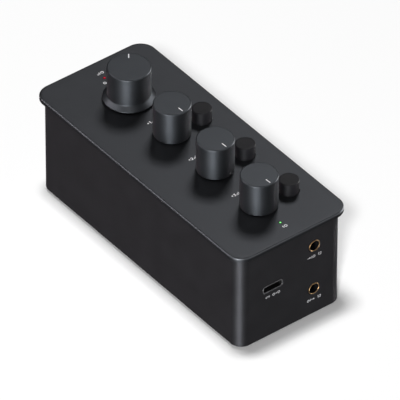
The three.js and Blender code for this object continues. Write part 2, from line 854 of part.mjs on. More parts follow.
/** The sockets of the end wall and of the headphone wall. */
function makePorts() {
  const group = new THREE.Group();
  const lineIn = [jackFrontX, lineJackY, caseBottom + lineInHeight];
  const lineOut = [jackFrontX, lineJackY, caseBottom + lineOutHeight];
  group.add(makeJack("line_in_jack", "line_in_ring", lineIn, 0));
  group.add(makeJack("line_out_jack", "line_out_ring", lineOut, 0));
  const jackFrontY = insideWidth / 2 - jackWallGap;
  channelPlaces.forEach((x, i) => {
    const place = [x, jackFrontY, headphoneJackHeight];
    const number = i + 1;
    group.add(makeJack(`headphone_jack_${number}`, `headphone_ring_${number}`, place, Math.PI / 2));
  });
  const usbShell = piece("usb_shell", makeUsbShell(), steel);
  const usbTongue = piece("usb_tongue", makeUsbTongue(), darkPlastic);
  usbShell.position.set(0, usbY, caseBottom + usbCentreHeight);
  usbTongue.position.set(0, usbY, caseBottom + usbCentreHeight);
  group.add(usbShell, usbTongue);
  return group;
}

const amplifier = new THREE.Group();
amplifier.add(makeEnclosure(), makeElectronics(), makeControls(), makePorts());

export default amplifier;
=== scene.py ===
"""Looks of a small desktop headphone amplifier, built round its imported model.

Lengths are in metres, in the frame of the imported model: +X along the box to the end with the
line jacks, +Y to the wall with the headphone jacks, +Z up, and z = 0 under the feet.
"""
import logging
import math
from dataclasses import dataclass
from enum import Enum
from typing import Any, Sequence

import bpy
import numpy as np
from mathutils import Matrix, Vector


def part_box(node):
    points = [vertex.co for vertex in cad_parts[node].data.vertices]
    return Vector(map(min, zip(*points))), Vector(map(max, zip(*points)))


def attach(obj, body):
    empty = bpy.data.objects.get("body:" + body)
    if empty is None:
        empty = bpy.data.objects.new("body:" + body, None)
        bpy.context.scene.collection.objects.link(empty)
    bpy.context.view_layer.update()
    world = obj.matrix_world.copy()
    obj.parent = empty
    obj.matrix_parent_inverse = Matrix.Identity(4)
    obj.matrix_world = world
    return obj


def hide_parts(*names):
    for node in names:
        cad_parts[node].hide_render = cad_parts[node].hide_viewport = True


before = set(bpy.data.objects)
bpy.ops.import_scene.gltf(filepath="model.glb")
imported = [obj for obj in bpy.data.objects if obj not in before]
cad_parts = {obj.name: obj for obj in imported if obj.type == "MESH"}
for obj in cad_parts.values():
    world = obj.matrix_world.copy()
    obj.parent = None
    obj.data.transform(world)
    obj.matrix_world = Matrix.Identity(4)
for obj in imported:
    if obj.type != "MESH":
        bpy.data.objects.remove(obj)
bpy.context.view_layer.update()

LOG = logging.getLogger("amplifier")
MM = 0.001
ROUND_STEPS = 6
CORNER_STEPS = 16
LATHE_SIDES = 128
HOLE_SIDES = 96
OVERRUN = 0.5 * MM
SOFT_EDGE = 0.1 * MM
CHANNELS = (1, 2, 3)
COOL, WARM = (0.95, 1.0, 1.04), (1.22, 0.94, 1.03)
ROSE, FAINT_ROSE = (1.12, 0.97, 1.02), (1.06, 0.98, 1.01)


@dataclass(frozen=True)
class Form:
    """A surface before it becomes a mesh.

    Attributes:
        points: One row of x, y and z for each vertex.
        faces: Blocks of faces, each an array with one row of vertex numbers for each face.
    """

    points: np.ndarray
    faces: tuple[np.ndarray, ...]

    def moved(self, x: float, y: float, z: float) -> "Form":
        """Returns the surface shifted by x, y and z."""
        return Form(self.points + np.array([x, y, z]), self.faces)

    def along(self, right: Sequence[float], up: Sequence[float]) -> "Form":
        """Lays the surface's own axes along new directions, so that it stays right-handed.

        Args:
            right: Where the surface's +X goes, a unit direction.
            up: Where the surface's +Y goes, a unit direction square to it.

        Returns:
            The turned surface.
        """
        return Form(self.points @ np.array([right, up, np.cross(right, up)], float), self.faces)

    def turned_by(self, degrees: float) -> "Form":
        """Turns the surface about the Z axis: +X goes to (cos t, sin t).

        Args:
            degrees: The angle t.

        Returns:
            The turned surface.
        """
        t = math.radians(degrees)
        return self.along((math.cos(t), math.sin(t), 0), (-math.sin(t), math.cos(t), 0))

    def joined(self, *others: "Form") -> "Form":
        """Puts surfaces together: a later one's faces count on from the points before it.

        Args:
            *others: The surfaces that are added.

        Returns:
            One surface.
        """
        points = [self.points]
        faces = list(self.faces)
        count = len(self.points)
        for other in others:
            points.append(other.points)
            faces.extend(block + count for block in other.faces)
            count += len(other.points)
        return Form(np.concatenate(points), tuple(faces))

    def mesh(self, name: str) -> bpy.types.Mesh:
        """Makes a Blender mesh of the surface.

        Args:
            name: The mesh's name.

        Returns:
            The mesh, with one vertex for each row of points.
        """
        mesh = bpy.data.meshes.new(name)
        faces = [row for block in self.faces for row in block.tolist()]
        mesh.from_pydata(self.points.tolist(), [], faces)
        return mesh


def rounded(corners: Sequence[Sequence[float]]) -> np.ndarray:
    """Rounds the corners of an outline with arcs that touch both sides of each corner.

    A corner P with unit directions u and v to its neighbours, h being half the angle between
    them, gets an arc of radius R about P + (u + v) / |u + v| * R / sin h, from its foot on one
    side to its foot on the other.

    Args:
        corners: Rows of two coordinates and a radius, 0 for a sharp corner.

    Returns:
        Rows of two coordinates, in the outline's order.
    """
    table = np.array(corners, float)
    point, radius = table[:, :2], table[:, 2]
    before, after = np.roll(point, 1, 0) - point, np.roll(point, -1, 0) - point
    with np.errstate(all="ignore"):
        u = before / np.linalg.norm(before, axis=1, keepdims=True)
        v = after / np.linalg.norm(after, axis=1, keepdims=True)
        half = np.arccos(np.clip((u * v).sum(1), -1, 1)) / 2
        inward = (u + v) / np.linalg.norm(u + v, axis=1, keepdims=True)
        centre = point + inward * (radius / np.sin(half))[:, None]
        reach = (radius / np.tan(half))[:, None]
        first, last = point + u * reach - centre, point + v * reach - centre
        sweep = (math.pi - 2 * half)[:, None, None]
        share = np.linspace(0, 1, ROUND_STEPS + 1)[None, :, None]
        swung = np.sin((1 - share) * sweep) * first[:, None] + np.sin(share * sweep) * last[:, None]
        arc = centre[:, None] + swung / np.sin(sweep)
    is_round = radius > 0
    arc = np.where(is_round[:, None, None], arc, point[:, None])
    keep = np.repeat(is_round[:, None], ROUND_STEPS + 1, 1)
    keep[:, 0] = True
    return arc[keep]


def strip(rows: int, columns: int, closed: bool) -> np.ndarray:
    """Numbers the quads of a grid of points whose columns close on themselves.

    Args:
        rows: Points along the profile.
        columns: Points round the path.
        closed: Whether the last row also joins the first.

    Returns:
        One row of four vertex numbers for each quad.
    """
    row = np.arange(rows if closed else rows - 1)[:, None]
    column = np.arange(columns)[None, :]
    here, above = row * columns, (row + 1) % rows * columns
    ahead = (column + 1) % columns
    return np.stack([here + column, here + ahead, above + ahead, above + column], -1).reshape(-1, 4)


def turned(profile: Sequence[Sequence[float]], sides: int = LATHE_SIDES) -> Form:
    """Turns a profile about the Z axis: the point (r, h) goes to (r cos t, r sin t, h).

    Args:
        profile: Rows of radius and height, with the solid on the left of the way along them.
            They start and end on the axis, or close on themselves.
        sides: How many angles t there are.

    Returns:
        The closed surface, with one vertex where an end meets the axis.
    """
    profile = np.array(profile, float)
    t = np.arange(sides) * (2 * math.pi / sides)
    poled = profile[0, 0] < 1e-9
    ring = profile[1:-1] if poled else profile
    flat = ring[:, None, :1] * np.stack([np.cos(t), np.sin(t)], -1)[None]
    height = np.broadcast_to(ring[:, None, 1:], (len(ring), sides, 1))
    points = np.concatenate([flat, height], -1).reshape(-1, 3)
    faces = [strip(len(ring), sides, not poled)]
    if poled:
        count = len(points)
        here = np.arange(sides)
        ahead = (here + 1) % sides
        top = count - sides
        points = np.concatenate([points, [[0, 0, profile[0, 1]], [0, 0, profile[-1, 1]]]])
        faces.append(np.stack([np.full(sides, count), ahead, here], -1))
        faces.append(np.stack([np.full(sides, count + 1), top + here, top + ahead], -1))
    return Form(points, tuple(faces))


def rod(radius: float, low: float, high: float, sides: int = HOLE_SIDES) -> Form:
    """Returns a plain upright cylinder on the Z axis."""
    return turned([(0, low), (radius, low), (radius, high), (0, high)], sides)


def rectangle_path(
    size: Sequence[float], radius: float, steps: int
) -> tuple[np.ndarray, np.ndarray]:
    """Works out a rectangle with rounded corners, centred on the origin.

    Each quarter has its arc about (+-(L/2 - R), +-(W/2 - R)), and the outward normal there is
    the arc's own direction (cos t, sin t).

    Args:
        size: Length along X and width along Y.
        radius: Corner radius.
        steps: How many stretches each corner has.

    Returns:
        The points and their outward normals, one row each.
    """
    angle = (np.arange(4)[:, None] + np.linspace(0, 1, steps + 1)[None]) * (math.pi / 2)
    normal = np.stack([np.cos(angle), np.sin(angle)], -1).reshape(-1, 2)
    side = np.repeat(np.array([[1, 1], [-1, 1], [-1, -1], [1, -1]]), steps + 1, 0)
    return side * (np.array(size) / 2 - radius) + radius * normal, normal


def carried(
    profile: Sequence[Sequence[float]], size: Sequence[float], radius: float, closed: bool
) -> Form:
    """Carries a profile round a rectangle with rounded corners.

    Where the path has the point p and the outward normal n, the profile's point (a, h) goes to
    p + a n at the height h.

    Args:
        profile: Rows of outward distance and height, with the solid on the left.
        size: The path's length along X and width along Y.
        radius: The path's corner radius.
        closed: Whether the profile closes on itself. If not, a flat face caps each end.

    Returns:
        The closed surface.
    """
    profile = np.array(profile, float)
    path, normal = rectangle_path(size, radius, CORNER_STEPS)
    flat = path[None] + profile[:, None, :1] * normal[None]
    height = np.broadcast_to(profile[:, None, 1:], (*flat.shape[:2], 1))
    points = np.concatenate([flat, height], -1).reshape(-1, 3)
    columns = len(path)
    faces = [strip(len(profile), columns, closed)]
    if not closed:
        ends = np.arange(columns)
        faces.append(ends[None, ::-1])
        faces.append(ends[None] + (len(profile) - 1) * columns)
    return Form(points, tuple(faces))


def rectangle(x0: float, y0: float, x1: float, y1: float) -> np.ndarray:
    """Returns a rectangle's corners, counter-clockwise."""
    return np.array([(x0, y0), (x1, y0), (x1, y1), (x0, y1)])


def slab(outline: np.ndarray, low: float, high: float) -> Form:
    """Makes an upright prism: each point (x, y) of the outline goes to both heights.

    Args:
        outline: Its plan, counter-clockwise.
        low: Height of its underside.
        high: Height of its top.

    Returns:
        The closed surface.
    """
    columns = len(outline)
    points = np.concatenate([
        np.column_stack([outline, np.full(columns, low)]),
        np.column_stack([outline, np.full(columns, high)]),
    ])
    ends = np.arange(columns)
    return Form(points, (strip(2, columns, False), ends[None, ::-1], ends[None] + columns))


def stroke(line: Sequence[Sequence[float]], width: float) -> np.ndarray:
    """Gives a line its width: each point moves by width / 2 along the line's mitred normal.

    Args:
        line: Rows of two coordinates.
        width: The drawn line's width.

    Returns:
        The outline, counter-clockwise.
    """
    line = np.array(line, float)
    way = np.diff(line, axis=0)
    way /= np.linalg.norm(way, axis=1, keepdims=True)
    normal = np.stack([-way[:, 1], way[:, 0]], -1)
    before, after = np.vstack([normal[:1], normal]), np.vstack([normal, normal[-1:]])
    mitre = (before + after) / (1 + (before * after).sum(1, keepdims=True))
    return np.concatenate([line - mitre * width / 2, (line + mitre * width / 2)[::-1]])


def arc(
    centre: Sequence[float], radius: float, start: float, end: float, steps: int = 14
) -> np.ndarray:
    """Works out points centre + R (cos t, sin t) from one angle to another.

    Args:
        centre: The circle's centre.
        radius: Its radius R.
        start: First angle t, in degrees.
        end: Last angle t, in degrees.
        steps: How many stretches the arc has.

    Returns:
        Rows of two coordinates.
    """
    t = np.radians(np.linspace(start, end, steps + 1))
    return np.array(centre) + radius * np.stack([np.cos(t), np.sin(t)], -1)


def worked(
    name: str, solid: Form, added: Form | None = None, cut: Form | None = None
) -> bpy.types.Mesh:
    """Joins and cuts closed surfaces.

    Args:
        name: The new mesh's name.
        solid: The surface that is worked on.
        added: Surfaces that are joined to it first.
        cut: Surfaces that are then taken away, none overlapping another.

    Returns:
        The mesh that is left.
    """
    made = []
    for form in (solid, added, cut):
        if form is not None:
            made.append(bpy.data.objects.new(name, form.mesh(name)))
            bpy.context.scene.collection.objects.link(made[-1])
        else:
            made.append(None)
    for tool, operation in zip(made[1:], ("UNION", "DIFFERENCE")):
        if tool:
            modifier = made[0].modifiers.new(operation, "BOOLEAN")
            modifier.object = tool
            modifier.operation = operation
            modifier.solver = "EXACT"
    bpy.context.view_layer.update()
    seen = made[0].evaluated_get(bpy.context.evaluated_depsgraph_get())
    mesh = bpy.data.meshes.new_from_object(seen)
    for one in filter(None, made):
        bpy.data.objects.remove(one)
    return mesh


class Signal:
    """A number that varies over a surface, held as the output socket of a shader node."""

    def __init__(self, graph: "Graph", socket: bpy.types.NodeSocket) -> None:
        """Keeps a socket and the graph that it belongs to."""
        self.graph = graph
        self.socket = socket

    def _math(self, operation: str, first: Any, second: Any) -> "Signal":
        """Returns the result of a Math node on two numbers or signals."""
        node = self.graph.node("ShaderNodeMath", {"operation": operation}, {0: first, 1: second})
        return Signal(self.graph, node.outputs[0])

    def __add__(self, other: Any) -> "Signal":
        """Returns self + other."""
        return self._math("ADD", self, other)

    def __radd__(self, other: Any) -> "Signal":
        """Returns other + self."""
        return self._math("ADD", other, self)

    def __sub__(self, other: Any) -> "Signal":
        """Returns self - other."""
        return self._math("SUBTRACT", self, other)

    def __rsub__(self, other: Any) -> "Signal":
        """Returns other - self."""
        return self._math("SUBTRACT", other, self)

    def __mul__(self, other: Any) -> "Signal":
        """Returns self * other."""
        return self._math("MULTIPLY", self, other)

    def __rmul__(self, other: Any) -> "Signal":
        """Returns other * self."""
        return self._math("MULTIPLY", other, self)

    def centred(self, swing: float) -> "Signal":
        """Returns the signal moved to lie about 0, and scaled to a swing."""
        return (self - 0.5) * swing

    def ramp(self, low: float, high: float) -> "Signal":
        """Steps smoothly between two levels: s s (3 - 2 s) of the share s of the way.

        Args:
            low: The level that gives 0.
            high: The level that gives 1.

        Returns:
            The step.
        """
        settings = {"interpolation_type": "SMOOTHSTEP"}
        values = {"Value": self, "From Min": low, "From Max": high}
        node = self.graph.node("ShaderNodeMapRange", settings, values)
        return Signal(self.graph, node.outputs["Result"])


class Graph:
    """The node tree of one material, with its Principled shader."""

    def __init__(self, name: str) -> None:
        """Makes a material whose tree holds its shader and output.

        Args:
            name: The material's name.
        """
        self.material = bpy.data.materials.new(name)
        self.material.use_nodes = True
        self.tree = self.material.node_tree
        self.shader = next(n for n in self.tree.nodes if n.type == "BSDF_PRINCIPLED")

    def node(self, kind: str, settings: dict[str, Any], values: dict[Any, Any]) -> bpy.types.Node:
        """Makes a node.

        Args:
            kind: The node's type.
            settings: Properties that are set first.
            values: Numbers, colours, sockets or signals for the node's input sockets.

        Returns:
            The node.
        """
        node = self.tree.nodes.new(kind)
        for key, value in settings.items():
            setattr(node, key, value)
        for key, value in values.items():
            self.feed(node.inputs[key], value)
        return node

    def feed(self, socket: bpy.types.NodeSocket, value: Any) -> None:
        """Fills an input socket: links a signal or socket to it, or sets its value.

        Args:
            socket: The input socket.
            value: A number, colour, socket or signal.
        """
        if isinstance(value, Signal):
            self.tree.links.new(value.socket, socket)
        elif isinstance(value, bpy.types.NodeSocket):
            self.tree.links.new(value, socket)
        else:
            socket.default_value = value

    def place(self, about: Sequence[float] = (0, 0, 0)) -> bpy.types.NodeSocket:
        """Reads Object coordinates, which are metres in the amplifier's frame, less a point.

        Args:
            about: The point.

        Returns:
            The coordinates' socket.
        """
        here = self.node("ShaderNodeTexCoord", {}, {}).outputs["Object"]
        values = {"Vector": here, "Location": [-a for a in about]}
        return self.node("ShaderNodeMapping", {}, values).outputs[0]

    def noise(self, size: float, detail: float = 2.0, where: Any = None) -> Signal:
        """Returns a noise whose patches are about size across."""
        values = {"Vector": where or self.place(), "Scale": 1 / size, "Detail": detail}
        return Signal(self, self.node("ShaderNodeTexNoise", {}, values).outputs["Fac"])

    def polar(self, about: Sequence[float]) -> tuple[Signal, bpy.types.NodeSocket]:
        """Works out the distance from an upright axis.

        Args:
            about: The axis's x and y.

        Returns:
            The distance, and a vector of the distance, nothing, and the height.
        """
        apart = self.node("ShaderNodeSeparateXYZ", {}, {"Vector": self.place((*about, 0))}).outputs
        flat = self.node("ShaderNodeCombineXYZ", {}, {"X": apart[0], "Y": apart[1]}).outputs[0]
        measure = {"operation": "LENGTH"}
        length = self.node("ShaderNodeVectorMath", measure, {0: flat}).outputs["Value"]
        lengths = self.node("ShaderNodeCombineXYZ", {}, {"X": length, "Z": apart[2]}).outputs[0]
        return Signal(self, length), lengths

    def mix(self, share: Signal, low: Any, high: Any) -> bpy.types.NodeSocket:
        """Mixes two colours.

        Args:
            share: Which of them shows, from 0 to 1.
            low: The colour where share is 0, as three numbers or a socket.
            high: The colour where share is 1, likewise.

        Returns:
            The mixed colour.
        """
        low, high = (c if isinstance(c, bpy.types.NodeSocket) else (*c, 1) for c in (low, high))
        mixed = self.node("ShaderNodeMix", {"data_type": "RGBA"}, {0: share, 6: low, 7: high})
        return mixed.outputs[2]

    def shaded(self, share: Signal, colour: Sequence[float], swing: float) -> bpy.types.NodeSocket:
        """Returns a colour that is darker by swing where share is 0 and lighter where it is 1."""
        return self.mix(share, [c * (1 - swing) for c in colour], [c * (1 + swing) for c in colour])

    def bump(self, height: Signal, distance: float) -> bpy.types.NodeSocket:
        """Returns a normal that follows a height given as a share of distance."""
        values = {"Height": height, "Distance": distance}
        return self.node("ShaderNodeBump", {}, values).outputs["Normal"]

    def dress(self, **sockets: Any) -> bpy.types.Material:
        """Sets the shader's sockets, named with _ for each space, and returns the material."""
        for key, value in sockets.items():
            self.feed(self.shader.inputs[key.replace("_", " ")], value)
        return self.material


@dataclass(frozen=True)
class Grained:
    """A surface with fine grain and slow drift: blasted metal, paint, moulded plastic, rubber, and on
    request a painted highlight along its upper edge.

    Attributes:
        name: The material's name.
        colour: Base colour, linear.
        roughness: Its mean roughness.
        metallic: How metallic it is.
        grain: Size of the grain.
        depth: Height of the grain.
        specular: Specular level.
        swing: How far the colour swings.
        rim: Height and radius of an upper rounded edge that carries a painted highlight, if it has
            one.
        rim_gain: How much brighter the painted highlight makes that edge.
    """

    name: str
    colour: tuple[float, float, float]
    roughness: float
    metallic: float = 0.0
    grain: float = 0.15 * MM
    depth: float = 0.004 * MM
    specular: float = 0.5
    swing: float = 0.06
    rim: tuple[float, float] | None = None
    rim_gain: float = 1.7

    def make(self) -> bpy.types.Material:
        """Makes the material: tone and roughness follow two noises, relief the finer one, and a rim
        gets a painted highlight on its rounding.

        Returns:
            The material.
        """
        graph = Graph(self.name)
        grain = graph.noise(self.grain, 3)
        drift = graph.noise(8 * MM, 2)
        tone = (drift * 0.5 + grain * 0.5).ramp(0.35, 0.65)
        colour = graph.shaded(tone, self.colour, self.swing)
        # Painted highlight: the colour is brighter on the rounding of the upper edge, standing in for
        # the light line along it.
        if self.rim:
            top, radius = self.rim
            level = {"Vector": graph.place((0, 0, top))}
            height = Signal(graph, graph.node("ShaderNodeSeparateXYZ", {}, level).outputs["Z"])
            below = 1 - height.ramp(-0.3 * radius, -0.05 * radius)
            share = below * height.ramp(-radius, -0.75 * radius)
            colour = graph.mix(share, colour, [self.rim_gain * c for c in self.colour])
        return graph.dress(
            Base_Color=colour,
            Metallic=self.metallic,
            Roughness=drift.centred(0.08) + grain.centred(0.08) + self.roughness,
            Specular_IOR_Level=self.specular,
            Normal=graph.bump(grain, self.depth),
        )


@dataclass(frozen=True)
class Plated:
    """Plated or bare metal with faint haze and fine scratches.

    Attributes:
        name: The material's name.
        colour: Reflection colour, linear.
        roughness: Its mean roughness.
    """

    name: str
    colour: tuple[float, float, float]
    roughness: float

    def make(self) -> bpy.types.Material:
        """Makes the material: haze follows one noise, the scratches a finer one.

        Returns:
            The material.
        """
        graph = Graph(self.name)
        haze = graph.noise(1.5 * MM, 3)
        fine = graph.noise(0.1 * MM, 2)
        return graph.dress(
            Base_Color=graph.shaded(haze.ramp(0.3, 0.7), self.colour, 0.08),
            Metallic=1.0,
            Roughness=haze.centred(0.12) + self.roughness,
            Normal=graph.bump(fine, 0.001 * MM),
        )


@dataclass(frozen=True)
class Circuit:
    """A circuit board: solder mask over copper tracks, with bare tinned pads.

    Attributes:
        name: The material's name.
        mask: Colour of the mask, linear.
        track: Colour of the mask where it lies on copper.
        tin: Colour of the tinned pads.
        spacing: Mean distance from pad to pad.
    """

    name: str
    mask: tuple[float, float, float]
    track: tuple[float, float, float]
    tin: tuple[float, float, float] = (0.62, 0.6, 0.55)
    spacing: float = 3.2 * MM

    def make(self) -> bpy.types.Material:
        """Makes the material: tracks run along cell edges, pads sit at cell centres.

        Returns:
            The material.
        """
        graph = Graph(self.name)
        cells = {"Vector": graph.place(), "Scale": 1 / self.spacing, "Randomness": 0.75}
        edges = graph.node("ShaderNodeTexVoronoi", {"feature": "DISTANCE_TO_EDGE"}, cells)
        near = graph.node("ShaderNodeTexVoronoi", {"feature": "F1"}, cells).outputs["Distance"]
        track = 1 - Signal(graph, edges.outputs["Distance"]).ramp(0.05, 0.08)
        pad = 1 - Signal(graph, near).ramp(0.1, 0.13)
        grain = graph.noise(0.3 * MM, 2)
        board = graph.mix(track, self.mask, self.track)
        return graph.dress(
            Base_Color=graph.mix(pad, board, self.tin),
            Metallic=pad,
            Roughness=grain.centred(0.1) + 0.36,
            Normal=graph.bump(track * 0.7 + grain * 0.1, 0.03 * MM),
        )


@dataclass(frozen=True)
class TurnedMetal:
    """Anodised metal with the fine rings that a lathe leaves about an upright axis.

    Attributes:
        name: The material's name.
        colour: Base colour, linear.
        axis: Where the axis passes, x and y.
        roughness: Its mean roughness.
        metallic: How metallic it is.
        pitch: Distance from ring to ring.
        depth: Height of the rings.
        specular: Specular level.
    """

    name: str
    colour: tuple[float, float, float]
    axis: tuple[float, float]
    roughness: float = 0.45
    metallic: float = 0.95
    pitch: float = 0.1 * MM
    depth: float = 0.0012 * MM
    specular: float = 0.5

    def make(self) -> bpy.types.Material:
        """Makes the material: its rings are a noise of the distance from the axis and the height.

        Returns:
            The material.
        """
        graph = Graph(self.name)
        rings = graph.noise(self.pitch, 1, graph.polar(self.axis)[1])
        grain = graph.noise(0.14 * MM, 2)
        drift = graph.noise(6 * MM, 2)
        tone = (rings * 0.5 + drift * 0.5).ramp(0.35, 0.65)
        return graph.dress(
            Base_Color=graph.shaded(tone, self.colour, 0.06),
            Metallic=self.metallic,
            Roughness=drift.centred(0.06) + rings.centred(0.06) + self.roughness,
            Specular_IOR_Level=self.specular,
            Normal=graph.bump(rings * 0.6 + grain * 0.4, self.depth),
        )


@dataclass(frozen=True)
class Glow:
    """An indicator window: a dark coloured lens with a lit spot at its middle.

    Attributes:
        name: The material's name.
        colour: Light colour, linear.
        axis: The lens's axis, x and y.
        spot: The lit spot's radius.
        strength: Emission strength.
    """

    name: str
    colour: tuple[float, float, float]
    axis: tuple[float, float]
    spot: float
    strength: float

    def make(self) -> bpy.types.Material:
        """Makes the material: colour and emission fall off across the spot's rim.

        Returns:
            The material.
        """
        graph = Graph(self.name)
        rim = graph.polar(self.axis)[0].ramp(0.7 * self.spot, 1.3 * self.spot)
        dim = [c * 0.04 for c in self.colour]
        return graph.dress(
            Base_Color=graph.mix(rim, [c * 0.2 for c in self.colour], dim),
            Roughness=graph.noise(0.3 * MM, 2).centred(0.1) + 0.4,
            Specular_IOR_Level=0.15,
            Emission_Color=graph.mix(rim, self.colour, dim),
            Emission_Strength=self.strength,
        )


class Finish(Enum):
    """The finishes that need nothing of a piece's place."""

    # The lid's rim carries a painted highlight along its rounded upper edge.
    LID = Grained("lid_blasted", (0.0485, 0.0507, 0.0555), 0.46, 0.95, 0.13 * MM, 0.003 * MM,
                  rim=(44.1 * MM, 0.75 * MM))
    CASE = Grained("case_painted", (0.0522, 0.0522, 0.057), 0.45, 0.9, 0.16 * MM, 0.003 * MM)
    BUTTON = Grained("button_satin", (0.0122, 0.0119, 0.0138), 0.46, 0.0, 0.2 * MM, 0.002 * MM,
                     0.14)
    PLASTIC = Grained("black_moulding", (0.0045, 0.0045, 0.005), 0.65, 0.0, 0.3 * MM, 0.003 * MM,
                      0.02)
    RUBBER = Grained("moulded_rubber", (0.011, 0.011, 0.011), 0.85, 0.0, 0.35 * MM, 0.01 * MM)
    SLEEVE = Grained("shrunk_sleeve", (0.012, 0.016, 0.028), 0.35, 0.0, 0.5 * MM, 0.002 * MM)
    INK = Grained("white_ink", (0.92, 0.92, 0.93), 0.6, 0.0, 0.1 * MM, 0.001 * MM, 0.3, 0.05)
    # A darker copy of the white ink for the signs on the walls: painted shade.
    DIM_INK = Grained("white_ink_painted_shade", (0.28, 0.28, 0.288), 0.6, 0.0, 0.1 * MM, 0.001 * MM, 0.3, 0.05)
    GOLD = Plated("gold_plate", (0.34, 0.215, 0.105), 0.36)
    NICKEL = Plated("nickel_plate", (0.3, 0.3, 0.312), 0.5)
    # Dark steel for the USB shell behind its mouth: painted shade inside the socket.
    DARK_STEEL = Plated("steel_painted_shade", (0.035, 0.035, 0.037), 0.55)
    STEEL = Plated("plain_steel", (0.4, 0.4, 0.41), 0.36)
    BOARD = Circuit("green_board", (0.008, 0.045, 0.02), (0.016, 0.085, 0.04))
    DARK_BOARD = Circuit("black_board", (0.01, 0.011, 0.012), (0.022, 0.023, 0.025))

    def material(self) -> bpy.types.Material:
        """Returns the finish's material, made the first time that it is asked for."""
        return bpy.data.materials.get(self.value.name) or self.value.make()


def middle(node: str) -> np.ndarray:
    """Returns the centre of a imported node's box."""
    low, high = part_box(node)
    return (np.array(low) + np.array(high)) / 2


@dataclass(frozen=True)
class Piece:
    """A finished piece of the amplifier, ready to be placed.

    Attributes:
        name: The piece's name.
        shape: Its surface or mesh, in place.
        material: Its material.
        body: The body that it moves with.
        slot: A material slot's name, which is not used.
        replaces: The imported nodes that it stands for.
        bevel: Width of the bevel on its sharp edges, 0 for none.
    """

    name: str
    shape: Form | bpy.types.Mesh
    material: bpy.types.Material
    body: str = "case"
    slot: str | None = None
    replaces: tuple[str, ...] = ()
    bevel: float = 0.0

    def place(self) -> None:
        """Makes the object, hangs it on its body's empty, hides the nodes that it stands for and
        reports it.
        """
        sharp = math.radians(35)
        mesh = self.shape.mesh(self.name) if isinstance(self.shape, Form) else self.shape
        mesh.name = self.name
        mesh.materials.clear()
        mesh.materials.append(self.material)
        mesh.shade_smooth()
        mesh.set_sharp_from_angle(angle=sharp)
        piece = bpy.data.objects.new(self.name, mesh)
        bpy.context.scene.collection.objects.link(piece)
        if self.bevel:
            bevel = piece.modifiers.new("bevel", "BEVEL")
            bevel.width = self.bevel
            bevel.segments = 2
            bevel.limit_method = "ANGLE"
            bevel.angle_limit = sharp
            bevel.use_clamp_overlap = True
        piece.modifiers.new("normals", "WEIGHTED_NORMAL").keep_sharp = True
        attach(piece, self.body)
        if self.replaces:
            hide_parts(*self.replaces)
        LOG.info("%s: %d vertices, on %s", self.name, len(mesh.vertices), self.body)


